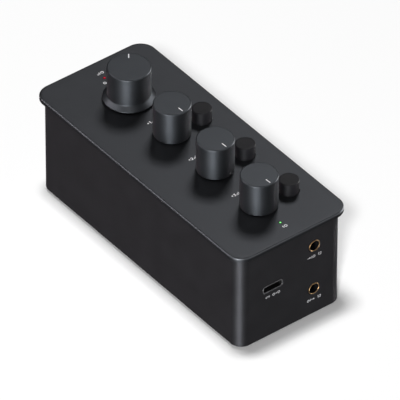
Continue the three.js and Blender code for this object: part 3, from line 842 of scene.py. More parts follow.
@dataclass(frozen=True)
class Enclosure:
    """The box wall, the lid, the base plate, the feet and the bolts.

    Attributes:
        wall: Thickness of the box wall.
        wall_radius: Radius of its upright corners, outside.
        wall_edge: Radius of its lower edge.
        ledge_depth: How far the ledge stands in from the wall.
        ledge_height: How thick the ledge is.
        lid_radius: Corner radius of the lid.
        lid_round: Radius of the lid's upper edge.
        lid_foot_round: Radius of the lid's lower edge.
        pillar_radius: Radius of the pillars below the lid.
        thread_radius: Radius of the bores in the pillars.
        bushing_hole: Radius of the holes under the knobs.
        button_hole: Radius of the holes for the buttons.
        light_hole: Radius of the holes for the light pipes.
        ring_hole: Radius of the holes for the jack rings.
        slot_gap: Gap round the USB shell.
        slot_radius: Corner radius of the USB cut-out.
        base_gap: Gap between base plate and wall.
        head_radius: Radius of a bolt's head.
        head_height: Height of its cone.
        shank_radius: Radius of its shank.
        socket_radius: Radius of its six-sided socket, to the corners.
        socket_depth: Depth of that socket.
        bolt_edges: Radii of a bolt's edges, at its head, its neck and its tip.
        foot_round: Radius of a foot's lower edge.
        wall_bevel: Width of the bevel on the wall's cut edges.
        lid_bevel: Width of the bevel on the lid's cut edges.
    """

    wall: float = 1.6 * MM
    wall_radius: float = 4.6 * MM
    wall_edge: float = 0.12 * MM
    ledge_depth: float = 1.2 * MM
    ledge_height: float = 1.5 * MM
    lid_radius: float = 6.4 * MM
    lid_round: float = 0.75 * MM
    lid_foot_round: float = 0.1 * MM
    pillar_radius: float = 2.5 * MM
    thread_radius: float = 1.55 * MM
    bushing_hole: float = 3.8 * MM
    button_hole: float = 3.9 * MM
    light_hole: float = 0.75 * MM
    ring_hole: float = 2.55 * MM
    slot_gap: float = 0.15 * MM
    slot_radius: float = 1.35 * MM
    base_gap: float = 0.3 * MM
    head_radius: float = 2.3 * MM
    head_height: float = 1.1 * MM
    shank_radius: float = 1.25 * MM
    socket_radius: float = 0.8 * MM
    socket_depth: float = 0.7 * MM
    bolt_edges: tuple[float, float, float] = (0.12 * MM, 0.2 * MM, 0.25 * MM)
    foot_round: float = 0.4 * MM
    wall_bevel: float = 0.08 * MM
    lid_bevel: float = 0.06 * MM

    def body_shell(self) -> Piece:
        """Makes the box wall: its section carried round the plan, then the sockets' holes cut.

        Returns:
            The wall.
        """
        low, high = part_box("body_shell")
        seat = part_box("base_plate")[1].z
        inner, ledge = -self.wall, -self.wall - self.ledge_depth
        section = rounded([
            (0, low.z, self.wall_edge), (0, high.z, 0), (inner, high.z, 0),
            (inner, seat + self.ledge_height, 0), (ledge, seat + self.ledge_height, 0),
            (ledge, seat, 0), (inner, seat, 0), (inner, low.z, self.wall_edge / 2),
        ])
        shell = carried(section, (high.x - low.x, high.y - low.y), self.wall_radius, True)
        reach = self.wall * 2
        hole = rod(self.ring_hole, -reach, reach)
        cuts = []
        for node in ("line_in_ring", "line_out_ring"):
            place = middle(node)
            cuts.append(hole.along((0, 0, -1), (0, 1, 0)).moved(high.x, place[1], place[2]))
        for channel in CHANNELS:
            place = middle(f"headphone_ring_{channel}")
            cuts.append(hole.along((1, 0, 0), (0, 0, -1)).moved(place[0], high.y, place[2]))
        usb_low, usb_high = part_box("usb_shell")
        gap = 2 * self.slot_gap
        size = (usb_high.y - usb_low.y + gap, usb_high.z - usb_low.z + gap)
        usb = slab(rectangle_path(size, self.slot_radius, CORNER_STEPS)[0], -reach, reach)
        place = middle("usb_shell")
        cuts.append(usb.along((0, 1, 0), (0, 0, 1)).moved(high.x, place[1], place[2]))
        mesh = worked("body_shell_fine", shell, None, cuts[0].joined(*cuts[1:]))
        return Piece("box_wall", mesh, Finish.CASE.material(), "case", "case_paint",
                     ("body_shell",), self.wall_bevel)

    def lid(self) -> Piece:
        """Makes the lid: its edge carried round the plan, pillars joined to it, then holes cut.

        Returns:
            The lid.
        """
        low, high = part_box("top_lid")
        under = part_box("body_shell")[1].z
        edge, foot = self.lid_round, self.lid_foot_round
        section = rounded([
            (-2 * edge, under, 0), (0, under, foot), (0, high.z, edge), (-2 * edge, high.z, 0),
        ])
        plate = carried(section, (high.x - low.x, high.y - low.y), self.lid_radius, False)
        pillars, cuts = [], []
        for corner in range(1, 5):
            x, y, _ = middle(f"case_bolt_{corner}")
            pillars.append(rod(self.pillar_radius, low.z, under + edge).moved(x, y, 0))
            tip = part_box(f"case_bolt_{corner}")[1].z + MM
            cuts.append(rod(self.thread_radius, low.z - OVERRUN, tip).moved(x, y, 0))
        holes = {"master_knob": self.bushing_hole}
        for channel in CHANNELS:
            holes[f"channel_{channel}_knob"] = self.bushing_hole
            holes[f"button_cap_{channel}"] = self.button_hole
        holes |= {"power_light_pipe": self.light_hole, "clip_light_pipe": self.light_hole}
        for node, radius in holes.items():
            x, y, _ = middle(node)
            cuts.append(rod(radius, under - OVERRUN, high.z + OVERRUN).moved(x, y, 0))
        mesh = worked("lid_fine", plate, pillars[0].joined(*pillars[1:]), cuts[0].joined(*cuts[1:]))
        return Piece("lid", mesh, Finish.LID.material(), "case", "lid_anodised", ("top_lid",),
                     self.lid_bevel)

    def base_plate(self) -> Piece:
        """Makes the base plate: its edge carried round the plan, then countersunk holes cut.

        Returns:
            The base plate.
        """
        low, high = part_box("base_plate")
        radius = self.wall_radius - self.wall - self.base_gap
        section = rounded([
            (-radius / 2, low.z, 0), (0, low.z, self.foot_round / 2),
            (0, high.z, 0), (-radius / 2, high.z, 0),
        ])
        plate = carried(section, (high.x - low.x, high.y - low.y), radius, False)
        wide, narrow = self.head_radius + self.base_gap, self.shank_radius + self.base_gap
        hole = turned([
            (0, low.z - OVERRUN), (wide, low.z - OVERRUN), (wide, low.z),
            (narrow, low.z + self.head_height), (narrow, high.z + OVERRUN), (0, high.z + OVERRUN),
        ], HOLE_SIDES)
        cuts = [hole.moved(*middle(f"case_bolt_{i}")[:2], 0) for i in range(1, 5)]
        mesh = worked("base_fine", plate, None, cuts[0].joined(*cuts[1:]))
        return Piece("base_cover", mesh, Finish.CASE.material(), "case", "case_paint",
                     ("base_plate",))

    def bolt(self, number: int) -> Piece:
        """Turns one countersunk bolt and cuts its six-sided socket.

        Args:
            number: Which bolt.

        Returns:
            The bolt.
        """
        node = f"case_bolt_{number}"
        low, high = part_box(node)
        rim, neck, tip = self.bolt_edges
        head = turned(rounded([
            (0, low.z, 0), (self.head_radius, low.z, rim),
            (self.shank_radius, low.z + self.head_height, neck),
            (self.shank_radius, high.z, tip), (0, high.z, 0),
        ]), HOLE_SIDES)
        socket = rod(self.socket_radius, low.z - OVERRUN, low.z + self.socket_depth, 6)
        mesh = worked(node, head, None, socket)
        x, y, _ = middle(node)
        mesh.transform(Matrix.Translation((x, y, 0)))
        return Piece(f"bolt_{number}", mesh, Finish.STEEL.material(), "case", "bolt_steel", (node,))

    def foot(self, number: int) -> Piece:
        """Turns one rubber foot with a rounded lower edge.

        Args:
            number: Which foot.

        Returns:
            The foot.
        """
        node = f"foot_{number}"
        low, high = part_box(node)
        radius = (high.x - low.x) / 2
        shape = turned(rounded([
            (0, low.z, 0), (radius, low.z, self.foot_round), (radius, high.z, 0), (0, high.z, 0),
        ]))
        x, y, _ = middle(node)
        return Piece(f"rubber_foot_{number}", shape.moved(x, y, 0), Finish.RUBBER.material(),
                     "case", "foot_rubber", (node,))

    def pieces(self) -> list[Piece]:
        """Lists the enclosure's pieces.

        Returns:
            All of them.
        """
        corners = range(1, 5)
        return [self.body_shell(), self.lid(), self.base_plate(),
                *map(self.bolt, corners), *map(self.foot, corners)]


@dataclass(frozen=True)
class Knob:
    """A knob with its pointer line.

    Attributes:
        node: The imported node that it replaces.
        body: The body that it turns with.
        pointer: Where the pointer starts and ends, from the axis.
        degrees: The pointer's direction.
        barrel: Radius of the barrel.
        skirt: Heights above the lid of the skirt's upper edge and of its foot on the barrel.
        edge: Radius of the top edge.
        fillet: Radius where the skirt meets the barrel.
        hem: Radius of the lower edge.
        cavity: Radius of the hollow below.
        cavity_top: Height of that hollow above the lid.
        bore: Radius of the shaft's hole.
        bore_flat: Distance from the axis to the hole's flat side.
        bore_top: Height of the hole above the lid.
        line_width: Width of the pointer.
        line_depth: Depth of its groove.
        line_sunk: How far the inlay stays below the top.
        colour: Colour of the metal, linear.
    """

    node: str
    body: str
    pointer: tuple[float, float]
    degrees: float
    barrel: float
    skirt: tuple[float, float] | None = None
    edge: float = 0.5 * MM
    fillet: float = 0.7 * MM
    hem: float = 0.3 * MM
    cavity: float = 5.8 * MM
    cavity_top: float = 3.3 * MM
    bore: float = 3.15 * MM
    bore_flat: float = 1.65 * MM
    bore_top: float = 11.3 * MM
    line_width: float = 0.37 * MM
    line_depth: float = 0.25 * MM
    line_sunk: float = 0.02 * MM
    colour: tuple[float, float, float] = (0.0503, 0.054, 0.0598)

    def outer(self, lid_top: float) -> list[tuple[float, float, float]]:
        """Lists the corners of the outside's profile, from the hem to the axis.

        Args:
            lid_top: Height of the lid's top.

        Returns:
            Rows of radius, height and rounding.
        """
        low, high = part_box(self.node)
        widest = (high.x - low.x) / 2
        corners = [(widest, low.z, self.hem)]
        if self.skirt:
            corners.append((widest, lid_top + self.skirt[0], self.hem))
            corners.append((self.barrel, lid_top + self.skirt[1], self.fillet))
        return corners + [(self.barrel, high.z, self.edge), (0, high.z, 0)]

    def pieces(self) -> list[Piece]:
        """Turns the knob's profile, cuts its bore and groove, and fills the groove.

        Returns:
            The knob and the inlay.
        """
        low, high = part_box(self.node)
        lid_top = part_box("top_lid")[1].z
        x, y, _ = middle(self.node)
        roof = lid_top + self.cavity_top
        shape = turned(rounded([
            (0, roof, 0), (self.cavity, roof, 0.2 * MM), (self.cavity, low.z, 0.2 * MM),
            *self.outer(lid_top),
        ]))
        round_bore = arc((0, 0), self.bore, 0, 360 - 360 / HOLE_SIDES, HOLE_SIDES - 1)
        flatted = np.column_stack([np.minimum(round_bore[:, 0], self.bore_flat), round_bore[:, 1]])
        start, end = self.pointer
        half = self.line_width / 2
        corners = ((start, -half), (end, -half), (end, half), (start, half))
        line = rounded([(*corner, half * 0.98) for corner in corners])
        floor = high.z - self.line_depth
        groove = slab(line, floor, high.z + OVERRUN).turned_by(self.degrees)
        cuts = slab(flatted, roof - OVERRUN, lid_top + self.bore_top).joined(groove)
        mesh = worked(self.node, shape, None, cuts)
        mesh.transform(Matrix.Translation((x, y, 0)))
        inlay = slab(line, floor, high.z - self.line_sunk).turned_by(self.degrees).moved(x, y, 0)
        metal = TurnedMetal(f"{self.node}_metal", self.colour, (x, y)).make()
        return [
            Piece(f"{self.node}_turned", mesh, metal, self.body, "knob_anodised", (self.node,)),
            Piece(f"{self.node}_pointer", inlay, Finish.INK.material(), self.body),
        ]


@dataclass(frozen=True)
class Button:
    """A push button's cap: it stands in the lid on its flange, over the plunger.

    Attributes:
        channel: Which channel it belongs to.
        radius: Radius of the part that shows.
        edge: Radius of its top edge.
        flange: Thickness of the flange.
        socket: Radius of the plunger's hole.
        socket_depth: Depth of that hole.
        dish: How far the top sinks at its middle.
    """

    channel: int
    radius: float = 3.72 * MM
    edge: float = 0.4 * MM
    flange: float = 0.8 * MM
    socket: float = 1.9 * MM
    socket_depth: float = 2.2 * MM
    dish: float = 0.06 * MM

    def pieces(self) -> list[Piece]:
        """Turns the cap's profile, with its flange and the plunger's hole.

        Returns:
            The cap.
        """
        node = f"button_cap_{self.channel}"
        low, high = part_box(node)
        wide = (high.x - low.x) / 2
        roof, shelf = low.z + self.socket_depth, low.z + self.flange
        x, y, _ = middle(node)
        shape = turned(rounded([
            (0, roof, 0), (self.socket, roof, 0), (self.socket, low.z, SOFT_EDGE),
            (wide, low.z, SOFT_EDGE), (wide, shelf, SOFT_EDGE), (self.radius, shelf, 0),
            (self.radius, high.z, self.edge), (self.radius * 0.75, high.z, self.radius * 0.2),
            (0, high.z - self.dish, 0),
        ]))
        return [Piece(f"{node}_moulded", shape.moved(x, y, 0), Finish.BUTTON.material(),
                      f"button_{self.channel}", "button_plastic", (node,))]


@dataclass(frozen=True)
class Light:
    """An indicator: a light pipe with a domed end in the lid.

    Attributes:
        node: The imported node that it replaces.
        slot: Its material slot.
        colour: Its light's colour, linear.
        strength: How bright it is.
        spot: Radius of its lit spot.
        radius: Radius in the lid.
        foot: Radius below the lid.
        shoulder: How far below the lid's underside the foot ends.
        dome: How far the end's middle rises over its edge.
    """

    node: str
    slot: str
    colour: tuple[float, float, float]
    strength: float
    spot: float
    radius: float = 0.55 * MM
    foot: float = 1.0 * MM
    shoulder: float = 0.2 * MM
    dome: float = 0.04 * MM

    def pieces(self) -> list[Piece]:
        """Turns the light pipe's profile, with its wider foot.

        Returns:
            The light pipe.
        """
        low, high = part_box(self.node)
        x, y, _ = middle(self.node)
        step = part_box("body_shell")[1].z - self.shoulder
        shape = turned(rounded([
            (0, low.z, 0), (self.foot, low.z, 0), (self.foot, step, SOFT_EDGE),
            (self.radius, step, 0), (self.radius, high.z - self.dome, SOFT_EDGE), (0, high.z, 0),
        ]), HOLE_SIDES)
        glow = Glow(f"{self.node}_glow", self.colour, (x, y), self.spot, self.strength).make()
        lens = shape.moved(x, y, 0)
        return [Piece(f"{self.node}_lens", lens, glow, "case", self.slot, (self.node,))]


@dataclass(frozen=True)
class Jack:
    """A 3.5 mm jack: its moulded body, its ring, and the sprung contact seen in its bore.

    Attributes:
        body_node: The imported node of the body.
        ring_node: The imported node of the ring.
        turn: Direction of the plug's axis, degrees from +X.
        bore: Radius of the bore.
        end: Thickness of the bore's closed end.
        ring: Outer radius of the ring.
        ring_bore: Inner radius of the ring.
        barrel: Outer radius of the body's barrel, which lines the ring.
        barrel_gap: How far behind the ring's front the barrel ends.
        ring_round: Radius of the ring's front lip.
        edge: Radius of the body's edges.
        contact_depth: How far behind the front the contact ends.
        contact_width: Width of the contact.
        contact_gap: How far its two faces lie in from the bore's wall.
    """

    body_node: str
    ring_node: str
    turn: float
    bore: float = 1.85 * MM
    end: float = 1.0 * MM
    ring: float = 2.4 * MM
    ring_bore: float = 2.06 * MM
    barrel: float = 2.02 * MM
    barrel_gap: float = 0.25 * MM
    ring_round: float = 0.2 * MM
    edge: float = 0.4 * MM
    contact_depth: float = 4.5 * MM
    contact_width: float = 1.0 * MM
    contact_gap: tuple[float, float] = (0.5 * MM, 0.2 * MM)

    def pieces(self) -> list[Piece]:
        """Makes the jack upright, with its plug's axis on Z, and lays it down along the turn.

        Returns:
            The body, the ring and the contact.
        """
        t = math.radians(self.turn)
        ahead = np.array([math.cos(t), math.sin(t), 0])
        aside = np.array([-math.sin(t), math.cos(t), 0])
        low, high = (np.array(c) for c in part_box(self.body_node))
        centre = (low + high) / 2
        half = abs(high - low) @ abs(ahead) / 2
        width = (high - low)[2]
        front = centre + ahead * half

        def laid(form: Form) -> Form:
            """Lays an upright form down along the plug's axis, its z = 0 on the body's front."""
            return form.along(aside, (0, 0, 1)).moved(*front)

        block = slab(rectangle_path((width, width), self.edge, ROUND_STEPS)[0], -2 * half, 0)
        ring_low, ring_high = (np.array(c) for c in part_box(self.ring_node))
        length = abs(ring_high - ring_low) @ abs(ahead)
        barrel = rod(self.barrel, -OVERRUN, length - self.barrel_gap)
        cut = rod(self.bore, self.end - 2 * half, length)
        mesh = worked(self.body_node, laid(block), laid(barrel), laid(cut))
        lip = self.ring_round
        ring = turned(rounded([
            (self.ring_bore, 0, 0), (self.ring, 0, 0), (self.ring, length, lip),
            (self.ring_bore, length, lip),
        ]))
        side = self.contact_width / 2
        near, far = (self.bore - gap for gap in self.contact_gap)
        spring = rounded([
            (-side, near, 0), (side, near, 0),
            (side, far, SOFT_EDGE / 2), (-side, far, SOFT_EDGE / 2),
        ])
        contact = slab(spring, self.end - 2 * half + OVERRUN / 5, -self.contact_depth)
        return [
            Piece(f"{self.body_node}_moulded", mesh, Finish.PLASTIC.material(), "case",
                  "dark_plastic", (self.body_node,)),
            Piece(f"{self.ring_node}_plated", laid(ring), Finish.GOLD.material(), "case",
                  "gold_ring", (self.ring_node,)),
            Piece(f"{self.body_node}_contact", laid(contact), Finish.GOLD.material()),
        ]


@dataclass(frozen=True)
class UsbSocket:
    """The USB-C socket: its drawn shell, its tongue and the tongue's contacts.

    Attributes:
        wall: Thickness of the shell.
        mouth: Depth of its front in plain nickel; the shell behind it has a dark finish that is
            painted shade.
        radius: Corner radius of the shell, outside.
        lip: Radius of the shell's front edge.
        tongue_width: Width of the tongue.
        tongue_thickness: Thickness of the tongue.
        block_width: Width of the block behind it.
        block_height: Height of that block.
        block_depth: Depth of that block.
        contacts: How many contacts lie on each side.
        pitch: Distance from contact to contact.
        contact: Length, width and thickness of a contact.
        contact_inset: How far behind the tongue's front a contact starts.
    """

    wall: float = 0.3 * MM
    mouth: float = 0.25 * MM
    radius: float = 1.2 * MM
    lip: float = 0.04 * MM
    tongue_width: float = 6.7 * MM
    tongue_thickness: float = 0.7 * MM
    block_width: float = 7.4 * MM
    block_height: float = 1.9 * MM
    block_depth: float = 4.0 * MM
    contacts: int = 12
    pitch: float = 0.5 * MM
    contact: tuple[float, float, float] = (3.4 * MM, 0.26 * MM, 0.03 * MM)
    contact_inset: float = 0.6 * MM

    def pieces(self) -> list[Piece]:
        """Makes the socket upright, and lays it down along +X.

        Returns:
            The shell's mouth, the shell behind it painted dark as shade, the tongue and the contacts.
        """
        low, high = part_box("usb_shell")
        centre = middle("usb_shell")
        size = (high.y - low.y, high.z - low.z)
        lip = self.lip
        wall_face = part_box("body_shell")[1].x
        back = wall_face - self.mouth
        mouth = carried(rounded([
            (0, back, 0), (0, wall_face, lip), (-self.wall, wall_face, lip), (-self.wall, back, 0),
        ]), size, self.radius, True)
        # The shell behind the mouth gets a dark finish: painted shade inside the socket.
        shell = carried(np.array([
            (0, low.x), (0, back), (-self.wall, back), (-self.wall, low.x),
        ]), size, self.radius, True)
        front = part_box("usb_tongue")[1].x
        w, t = self.tongue_width / 2, self.tongue_thickness / 2
        tongue = slab(rectangle(-w, -t, w, t), low.x, front)
        bw, bh = self.block_width / 2, self.block_height / 2
        block = slab(rectangle(-bw, -bh, bw, bh), low.x, low.x + self.block_depth)
        length, width, thickness = self.contact
        tip = front - self.contact_inset
        pads = []
        for side in (-1, 1):
            for i in range(self.contacts):
                u = (i - (self.contacts - 1) / 2) * self.pitch
                near, far = sorted((side * (t - OVERRUN / 10), side * (t + thickness)))
                pad = rectangle(u - width / 2, near, u + width / 2, far)
                pads.append(slab(pad, tip - length, tip))

        def laid(form: Form) -> Form:
            """Lays an upright form down along +X, through the socket's centre."""
            return form.along((0, 1, 0), (0, 0, 1)).moved(0, centre[1], centre[2])

        tongue_mesh = worked("usb_tongue_fine", laid(tongue), laid(block))
        return [
            Piece("usb_bright_mouth", laid(mouth), Finish.NICKEL.material(), "case", "socket_steel",
                  ("usb_shell",)),
            # The shell is darkened: painted shade.
            Piece("usb_shell_painted_shade", laid(shell), Finish.DARK_STEEL.material()),
            Piece("usb_moulded_tongue", tongue_mesh, Finish.PLASTIC.material(), "case",
                  "dark_plastic", ("usb_tongue",)),
            Piece("usb_contacts", laid(pads[0].joined(*pads[1:])), Finish.GOLD.material()),
        ]


class Sign(Enum):
    """The plain signs that are printed on the amplifier."""

    ONE = "1"
    TWO = "2"
    THREE = "3"
    DOT = "."
    RING = "o"
    BAR = "|"
    ARROW = ">"
    DIRECT = "="
    LEVEL = "/"
    SPACE = " "


@dataclass(frozen=True)
class Print:
    """A row of plain signs, printed on a flat face.

    Attributes:
        height: Height of the signs.
        weight: Width of their strokes.
        gap: Space from sign to sign.
        sunk: How deep the ink's underside lies in the face.
        proud: How far the ink stands above the face.
        dot_sides: How many sides a dot has.
        ring_sides: How many sides a ring has.
    """

    height: float = 1.1 * MM
    weight: float = 0.2 * MM
    gap: float = 0.3 * MM
    sunk: float = 0.01 * MM
    proud: float = 0.02 * MM
    dot_sides: int = 24
    ring_sides: int = 32

    def ink(self, outline: np.ndarray) -> Form:
        """Returns a thin slab of ink over an outline."""
        return slab(outline, -self.sunk, self.proud)

    def block(self, x0: float, y0: float, x1: float, y1: float) -> Form:
        """Returns a rectangle of ink, its corners in shares of the height."""
        return self.ink(rectangle(x0, y0, x1, y1) * self.height)

    def sign(self, sign: Sign) -> tuple[list[Form], float]:
        """Draws one sign with its left end at 0 and its foot on the base line.

        Args:
            sign: Which sign.

        Returns:
            Its pieces of ink, and its width.
        """
        h, w = self.height, self.weight
        share = w / h
        if sign is Sign.ONE:
            line = np.array([(0.05, 0.74), (0.34, 0.95), (0.34, 0)])
            return [self.ink(stroke(line * h, w))], 0.44 * h
        if sign is Sign.TWO:
            line = np.vstack([arc((0.32, 0.66), 0.27, 165, -35), [(0.08, 0.08), (0.64, 0.08)]])
            return [self.ink(stroke(line * h, w))], 0.64 * h
        if sign is Sign.THREE:
            bowl = arc((0.29, 0.33), 0.26, 85, -150)
            line = np.vstack([[(0.03, 0.92), (0.54, 0.92)], bowl])
            return [self.ink(stroke(line * h, w))], 0.6 * h
        if sign is Sign.DOT:
            dot = rod(w * 1.25, -self.sunk, self.proud, self.dot_sides)
            return [dot.moved(w * 1.25, h / 2, 0)], w * 2.5
        if sign is Sign.RING:
            inner, low, high = h / 2 - w, -self.sunk, self.proud
            ring = turned([(inner, low), (h / 2, low), (h / 2, high), (inner, high)], self.ring_sides)
            return [ring.moved(h / 2, h / 2, 0)], h
        if sign is Sign.BAR:
            return [self.block(0, 0, share, 1)], w
        if sign is Sign.ARROW:
            head = self.ink(np.array([(0.75, 0.12), (1.35, 0.5), (0.75, 0.88)]) * h)
            return [self.block(0, 0.5 - share / 2, 0.75, 0.5 + share / 2), head], 1.35 * h
        if sign is Sign.DIRECT:
            dashes = [self.block(0.6 * i, 0.2, 0.6 * i + 0.4, 0.2 + share) for i in range(3)]
            return [self.block(0, 0.62, 1.6, 0.62 + share), *dashes], 1.6 * h
        if sign is Sign.LEVEL:
            bars = [self.block(i * 0.42, 0, i * 0.42 + share, 0.4 + 0.3 * i) for i in range(3)]
            return bars, (0.84 + share) * h
        return [], 0.5 * h

    def row(self, signs: str) -> tuple[Form, float]:
        """Sets signs one after another from the left.

        Args:
            signs: The signs, each by the character that stands for it.

        Returns:
            The row, with its left end and its base line at 0, and its width.
        """
        forms, along = [], 0.0
        for character in signs:
            inks, width = self.sign(Sign(character))
            forms += [ink.moved(along, 0, 0) for ink in inks]
            along += width + self.gap
        return forms[0].joined(*forms[1:]), along - self.gap


@dataclass(frozen=True)
class Marks:
    """The printed signs on the lid, on the end wall and above the headphone jacks.

    Attributes:
        label_offset: From a knob's axis to its label's base line, towards -X.
        label_starts: Where each channel's label starts, along Y from the knob's axis.
        light_offset: From a light's axis to the base line of its sign, away from the knobs.
        button_offset: From a button's axis to the bar beside it.
        port_drop: From a port's axis down to its sign's base line: line jacks, then USB.
        number_rise: From a headphone jack's axis up to its number's base line.
    """

    label_offset: float = 9.0 * MM
    label_starts: tuple[float, float, float] = (-3.7 * MM, -4.45 * MM, -4.8 * MM)
    light_offset: float = 3.1 * MM
    button_offset: float = 5.9 * MM
    port_drop: tuple[float, float] = (5.25 * MM, 4.3 * MM)
    number_rise: float = 3.9 * MM

    def on_lid(self) -> Piece:
        """Prints the lid's signs, which read along +Y with their tops towards -X.

        Returns:
            The signs.
        """
        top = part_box("top_lid")[1].z
        small = Print(1.25 * MM, 0.24 * MM, 0.34 * MM)
        forms = []

        def lay(signs: str, x: float, y: float, share: float = 0.0) -> None:
            """Lays a row of signs on the lid.

            Args:
                signs: The signs.
                x: Where their base line is.
                y: Where they start, or where the share ends.
                share: How much of their width lies before y.
            """
            form, width = small.row(signs)
            laid = form.moved(-share * width, 0, 0).along((0, 1, 0), (-1, 0, 0))
            forms.append(laid.moved(x, y, top))

        for channel in CHANNELS:
            x, y, _ = middle(f"channel_{channel}_knob")
            lay(f".{channel}/", x - self.label_offset, y + self.label_starts[channel - 1])
            x, y, _ = middle(f"button_cap_{channel}")
            lay("|", x - self.button_offset, y, 0.5)
        x, y, _ = middle("power_light_pipe")
        lay("|o", x + self.light_offset, y, 0.4)
        x, y, _ = middle("clip_light_pipe")
        lay("/o", x - self.light_offset + small.height / 2, y, 0.35)
        lay("o/", x + self.light_offset, y, 0.8)
        return Piece("lid_signs", forms[0].joined(*forms[1:]), Finish.INK.material())

    def on_end(self) -> Piece:
        """Prints the end wall's signs: arrows with channel numbers, and direct current.

        Returns:
            The signs.
        """
        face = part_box("body_shell")[1].x
        text = Print(1.15 * MM, 0.22 * MM)
        jack_drop, usb_drop = self.port_drop
        forms = []
        for node, signs, drop in (
            ("line_in_ring", ">|o 12", jack_drop),
            ("line_out_ring", "o|> 12", jack_drop),
            ("usb_shell", "= o.o", usb_drop),
        ):
            form, width = text.row(signs)
            place = middle(node)
            laid = form.moved(-width / 2, 0, 0).along((0, 1, 0), (0, 0, 1))
            forms.append(laid.moved(face, place[1], place[2] - drop))
        # The ink on the end wall is darkened: painted shade.
        return Piece("end_signs", forms[0].joined(*forms[1:]), Finish.DIM_INK.material())

    def on_back(self) -> Piece:
        """Prints the numbers above the headphone jacks, which read along -X.

        Returns:
            The numbers.
        """
        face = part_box("body_shell")[1].y
        text = Print(1.4 * MM, 0.25 * MM)
        forms = []
        for channel in CHANNELS:
            form, width = text.row(str(channel))
            place = middle(f"headphone_ring_{channel}")
            laid = form.moved(-width / 2, 0, 0).along((-1, 0, 0), (0, 0, 1))
            forms.append(laid.moved(place[0], face, place[2] + self.number_rise))
        # The ink on the back wall is darkened: painted shade.
        return Piece("back_signs", forms[0].joined(*forms[1:]), Finish.DIM_INK.material())

    def pieces(self) -> list[Piece]:
        """Returns every printed piece."""
        return [self.on_lid(), self.on_end(), self.on_back()]


@dataclass(frozen=True)
class Inside:
    """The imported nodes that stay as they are, with their finishes.

    Attributes:
        finishes: For each start of a node's name, the finish that such nodes get.
    """

    finishes: tuple[tuple[str, Finish], ...] = (
        ("amp_board", Finish.BOARD),
        ("control_board", Finish.BOARD),
        ("port_board", Finish.BOARD),
        ("riser_board", Finish.DARK_BOARD),
        ("supply_capacitor", Finish.SLEEVE),
        ("board_spacer", Finish.STEEL),
        ("switch_plunger", Finish.INK),
        ("switch_body", Finish.PLASTIC),
    )

    def dress(self) -> None:
        """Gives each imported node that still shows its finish."""
        for name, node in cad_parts.items():
            if node.hide_render:
                continue
            found = [finish for start, finish in self.finishes if name.startswith(start)]
            if "pot_body" in name:
                found = [Finish.PLASTIC]
            finish = found[0] if found else Finish.STEEL
            for slot in node.material_slots:
                slot.material = finish.material()
            LOG.info("%s: packed node, %s", name, finish.name)


@dataclass(frozen=True)
class Camera:
    """The photograph's camera, as found from the lid's and the wall's corners.

    Attributes:
        eye: Where it stands.
        azimuth: Which way it looks, degrees from +Y towards -X.
        elevation: How far it looks down, in degrees.
        roll: How far it is turned about its own axis, in degrees.
        focal: Focal length in pixels of the photograph.
        image: Width of the photograph in pixels.
        sensor: Width of the sensor in millimetres.
    """

    eye: tuple[float, float, float] = (1.853683, -1.434604, 1.971113)
    azimuth: float = 52.177
    elevation: float = 39.769
    roll: float = 0.141
    focal: float = 8451.57
    image: float = 400.0
    sensor: float = 36.0

    def place(self) -> None:
        """Makes the camera and hands it to the scene."""
        a, e, r = (math.radians(v) for v in (self.azimuth, self.elevation, self.roll))
        ahead = np.array([-math.sin(a) * math.cos(e), math.cos(a) * math.cos(e), -math.sin(e)])
        level = np.array([math.cos(a), math.sin(a), 0])
        upward = np.cross(level, ahead)
        right = math.cos(r) * level + math.sin(r) * upward
        above = math.cos(r) * upward - math.sin(r) * level
        data = bpy.data.cameras.new("camera")
        data.sensor_width = self.sensor
        data.lens = self.focal * self.sensor / self.image
        data.clip_end = 100.0
        camera = bpy.data.objects.new("camera", data)
        bpy.context.scene.collection.objects.link(camera)
        pose = np.eye(4)
        pose[:3, :3] = np.stack([right, above, -ahead], -1)
        pose[:3, 3] = self.eye
        camera.matrix_world = Matrix(pose.tolist())
        bpy.context.scene.camera = camera


@dataclass(frozen=True)
class SoftBox:
    """A soft rectangular light that faces the amplifier.

    Attributes:
        name: The light's name.
        azimuth: Where it stands, degrees from +X towards +Y.
        elevation: How high it stands, in degrees.
        power: Its power in watts.
        colour: Its colour.
        shadows: Whether it casts shadows.
        distance: How far it stands from the lid's middle.
        side: Its width, and its height.
        for_floor: Whether it lights the floor alone, or all but the floor.
    """

    name: str
    azimuth: float
    elevation: float
    power: float
    colour: tuple[float, float, float] = (1.0, 1.0, 1.0)
    shadows: bool = True
    distance: float = 1.5
    side: float = 0.4
    for_floor: bool = False

    def place(self, target: np.ndarray, floor: bpy.types.Object) -> None:
        """Makes the light, turned towards the target.

        Args:
            target: The point that it faces.
            floor: The floor, which the light is kept on or off.
        """
        a, e = math.radians(self.azimuth), math.radians(self.elevation)
        out = np.array([math.cos(a) * math.cos(e), math.sin(a) * math.cos(e), math.sin(e)])
        right = np.array([-math.sin(a), math.cos(a), 0])
        data = bpy.data.lights.new(self.name, "AREA")
        data.shape = "RECTANGLE"
        data.size = data.size_y = self.side
        data.energy = self.power
        data.color = self.colour
        data.use_shadow = self.shadows
        data.cycles.use_multiple_importance_sampling = self.shadows
        light = bpy.data.objects.new(self.name, data)
        bpy.context.scene.collection.objects.link(light)
        receivers = bpy.data.collections.new(f"{self.name}_receivers")
        receivers.objects.link(floor)
        state = "INCLUDE" if self.for_floor else "EXCLUDE"
        receivers.collection_objects[0].light_linking.link_state = state
        light.light_linking.receiver_collection = receivers
        pose = np.eye(4)
        pose[:3, :3] = np.stack([right, np.cross(out, right), out], -1)
        pose[:3, 3] = target + out * self.distance
        light.matrix_world = Matrix(pose.tolist())


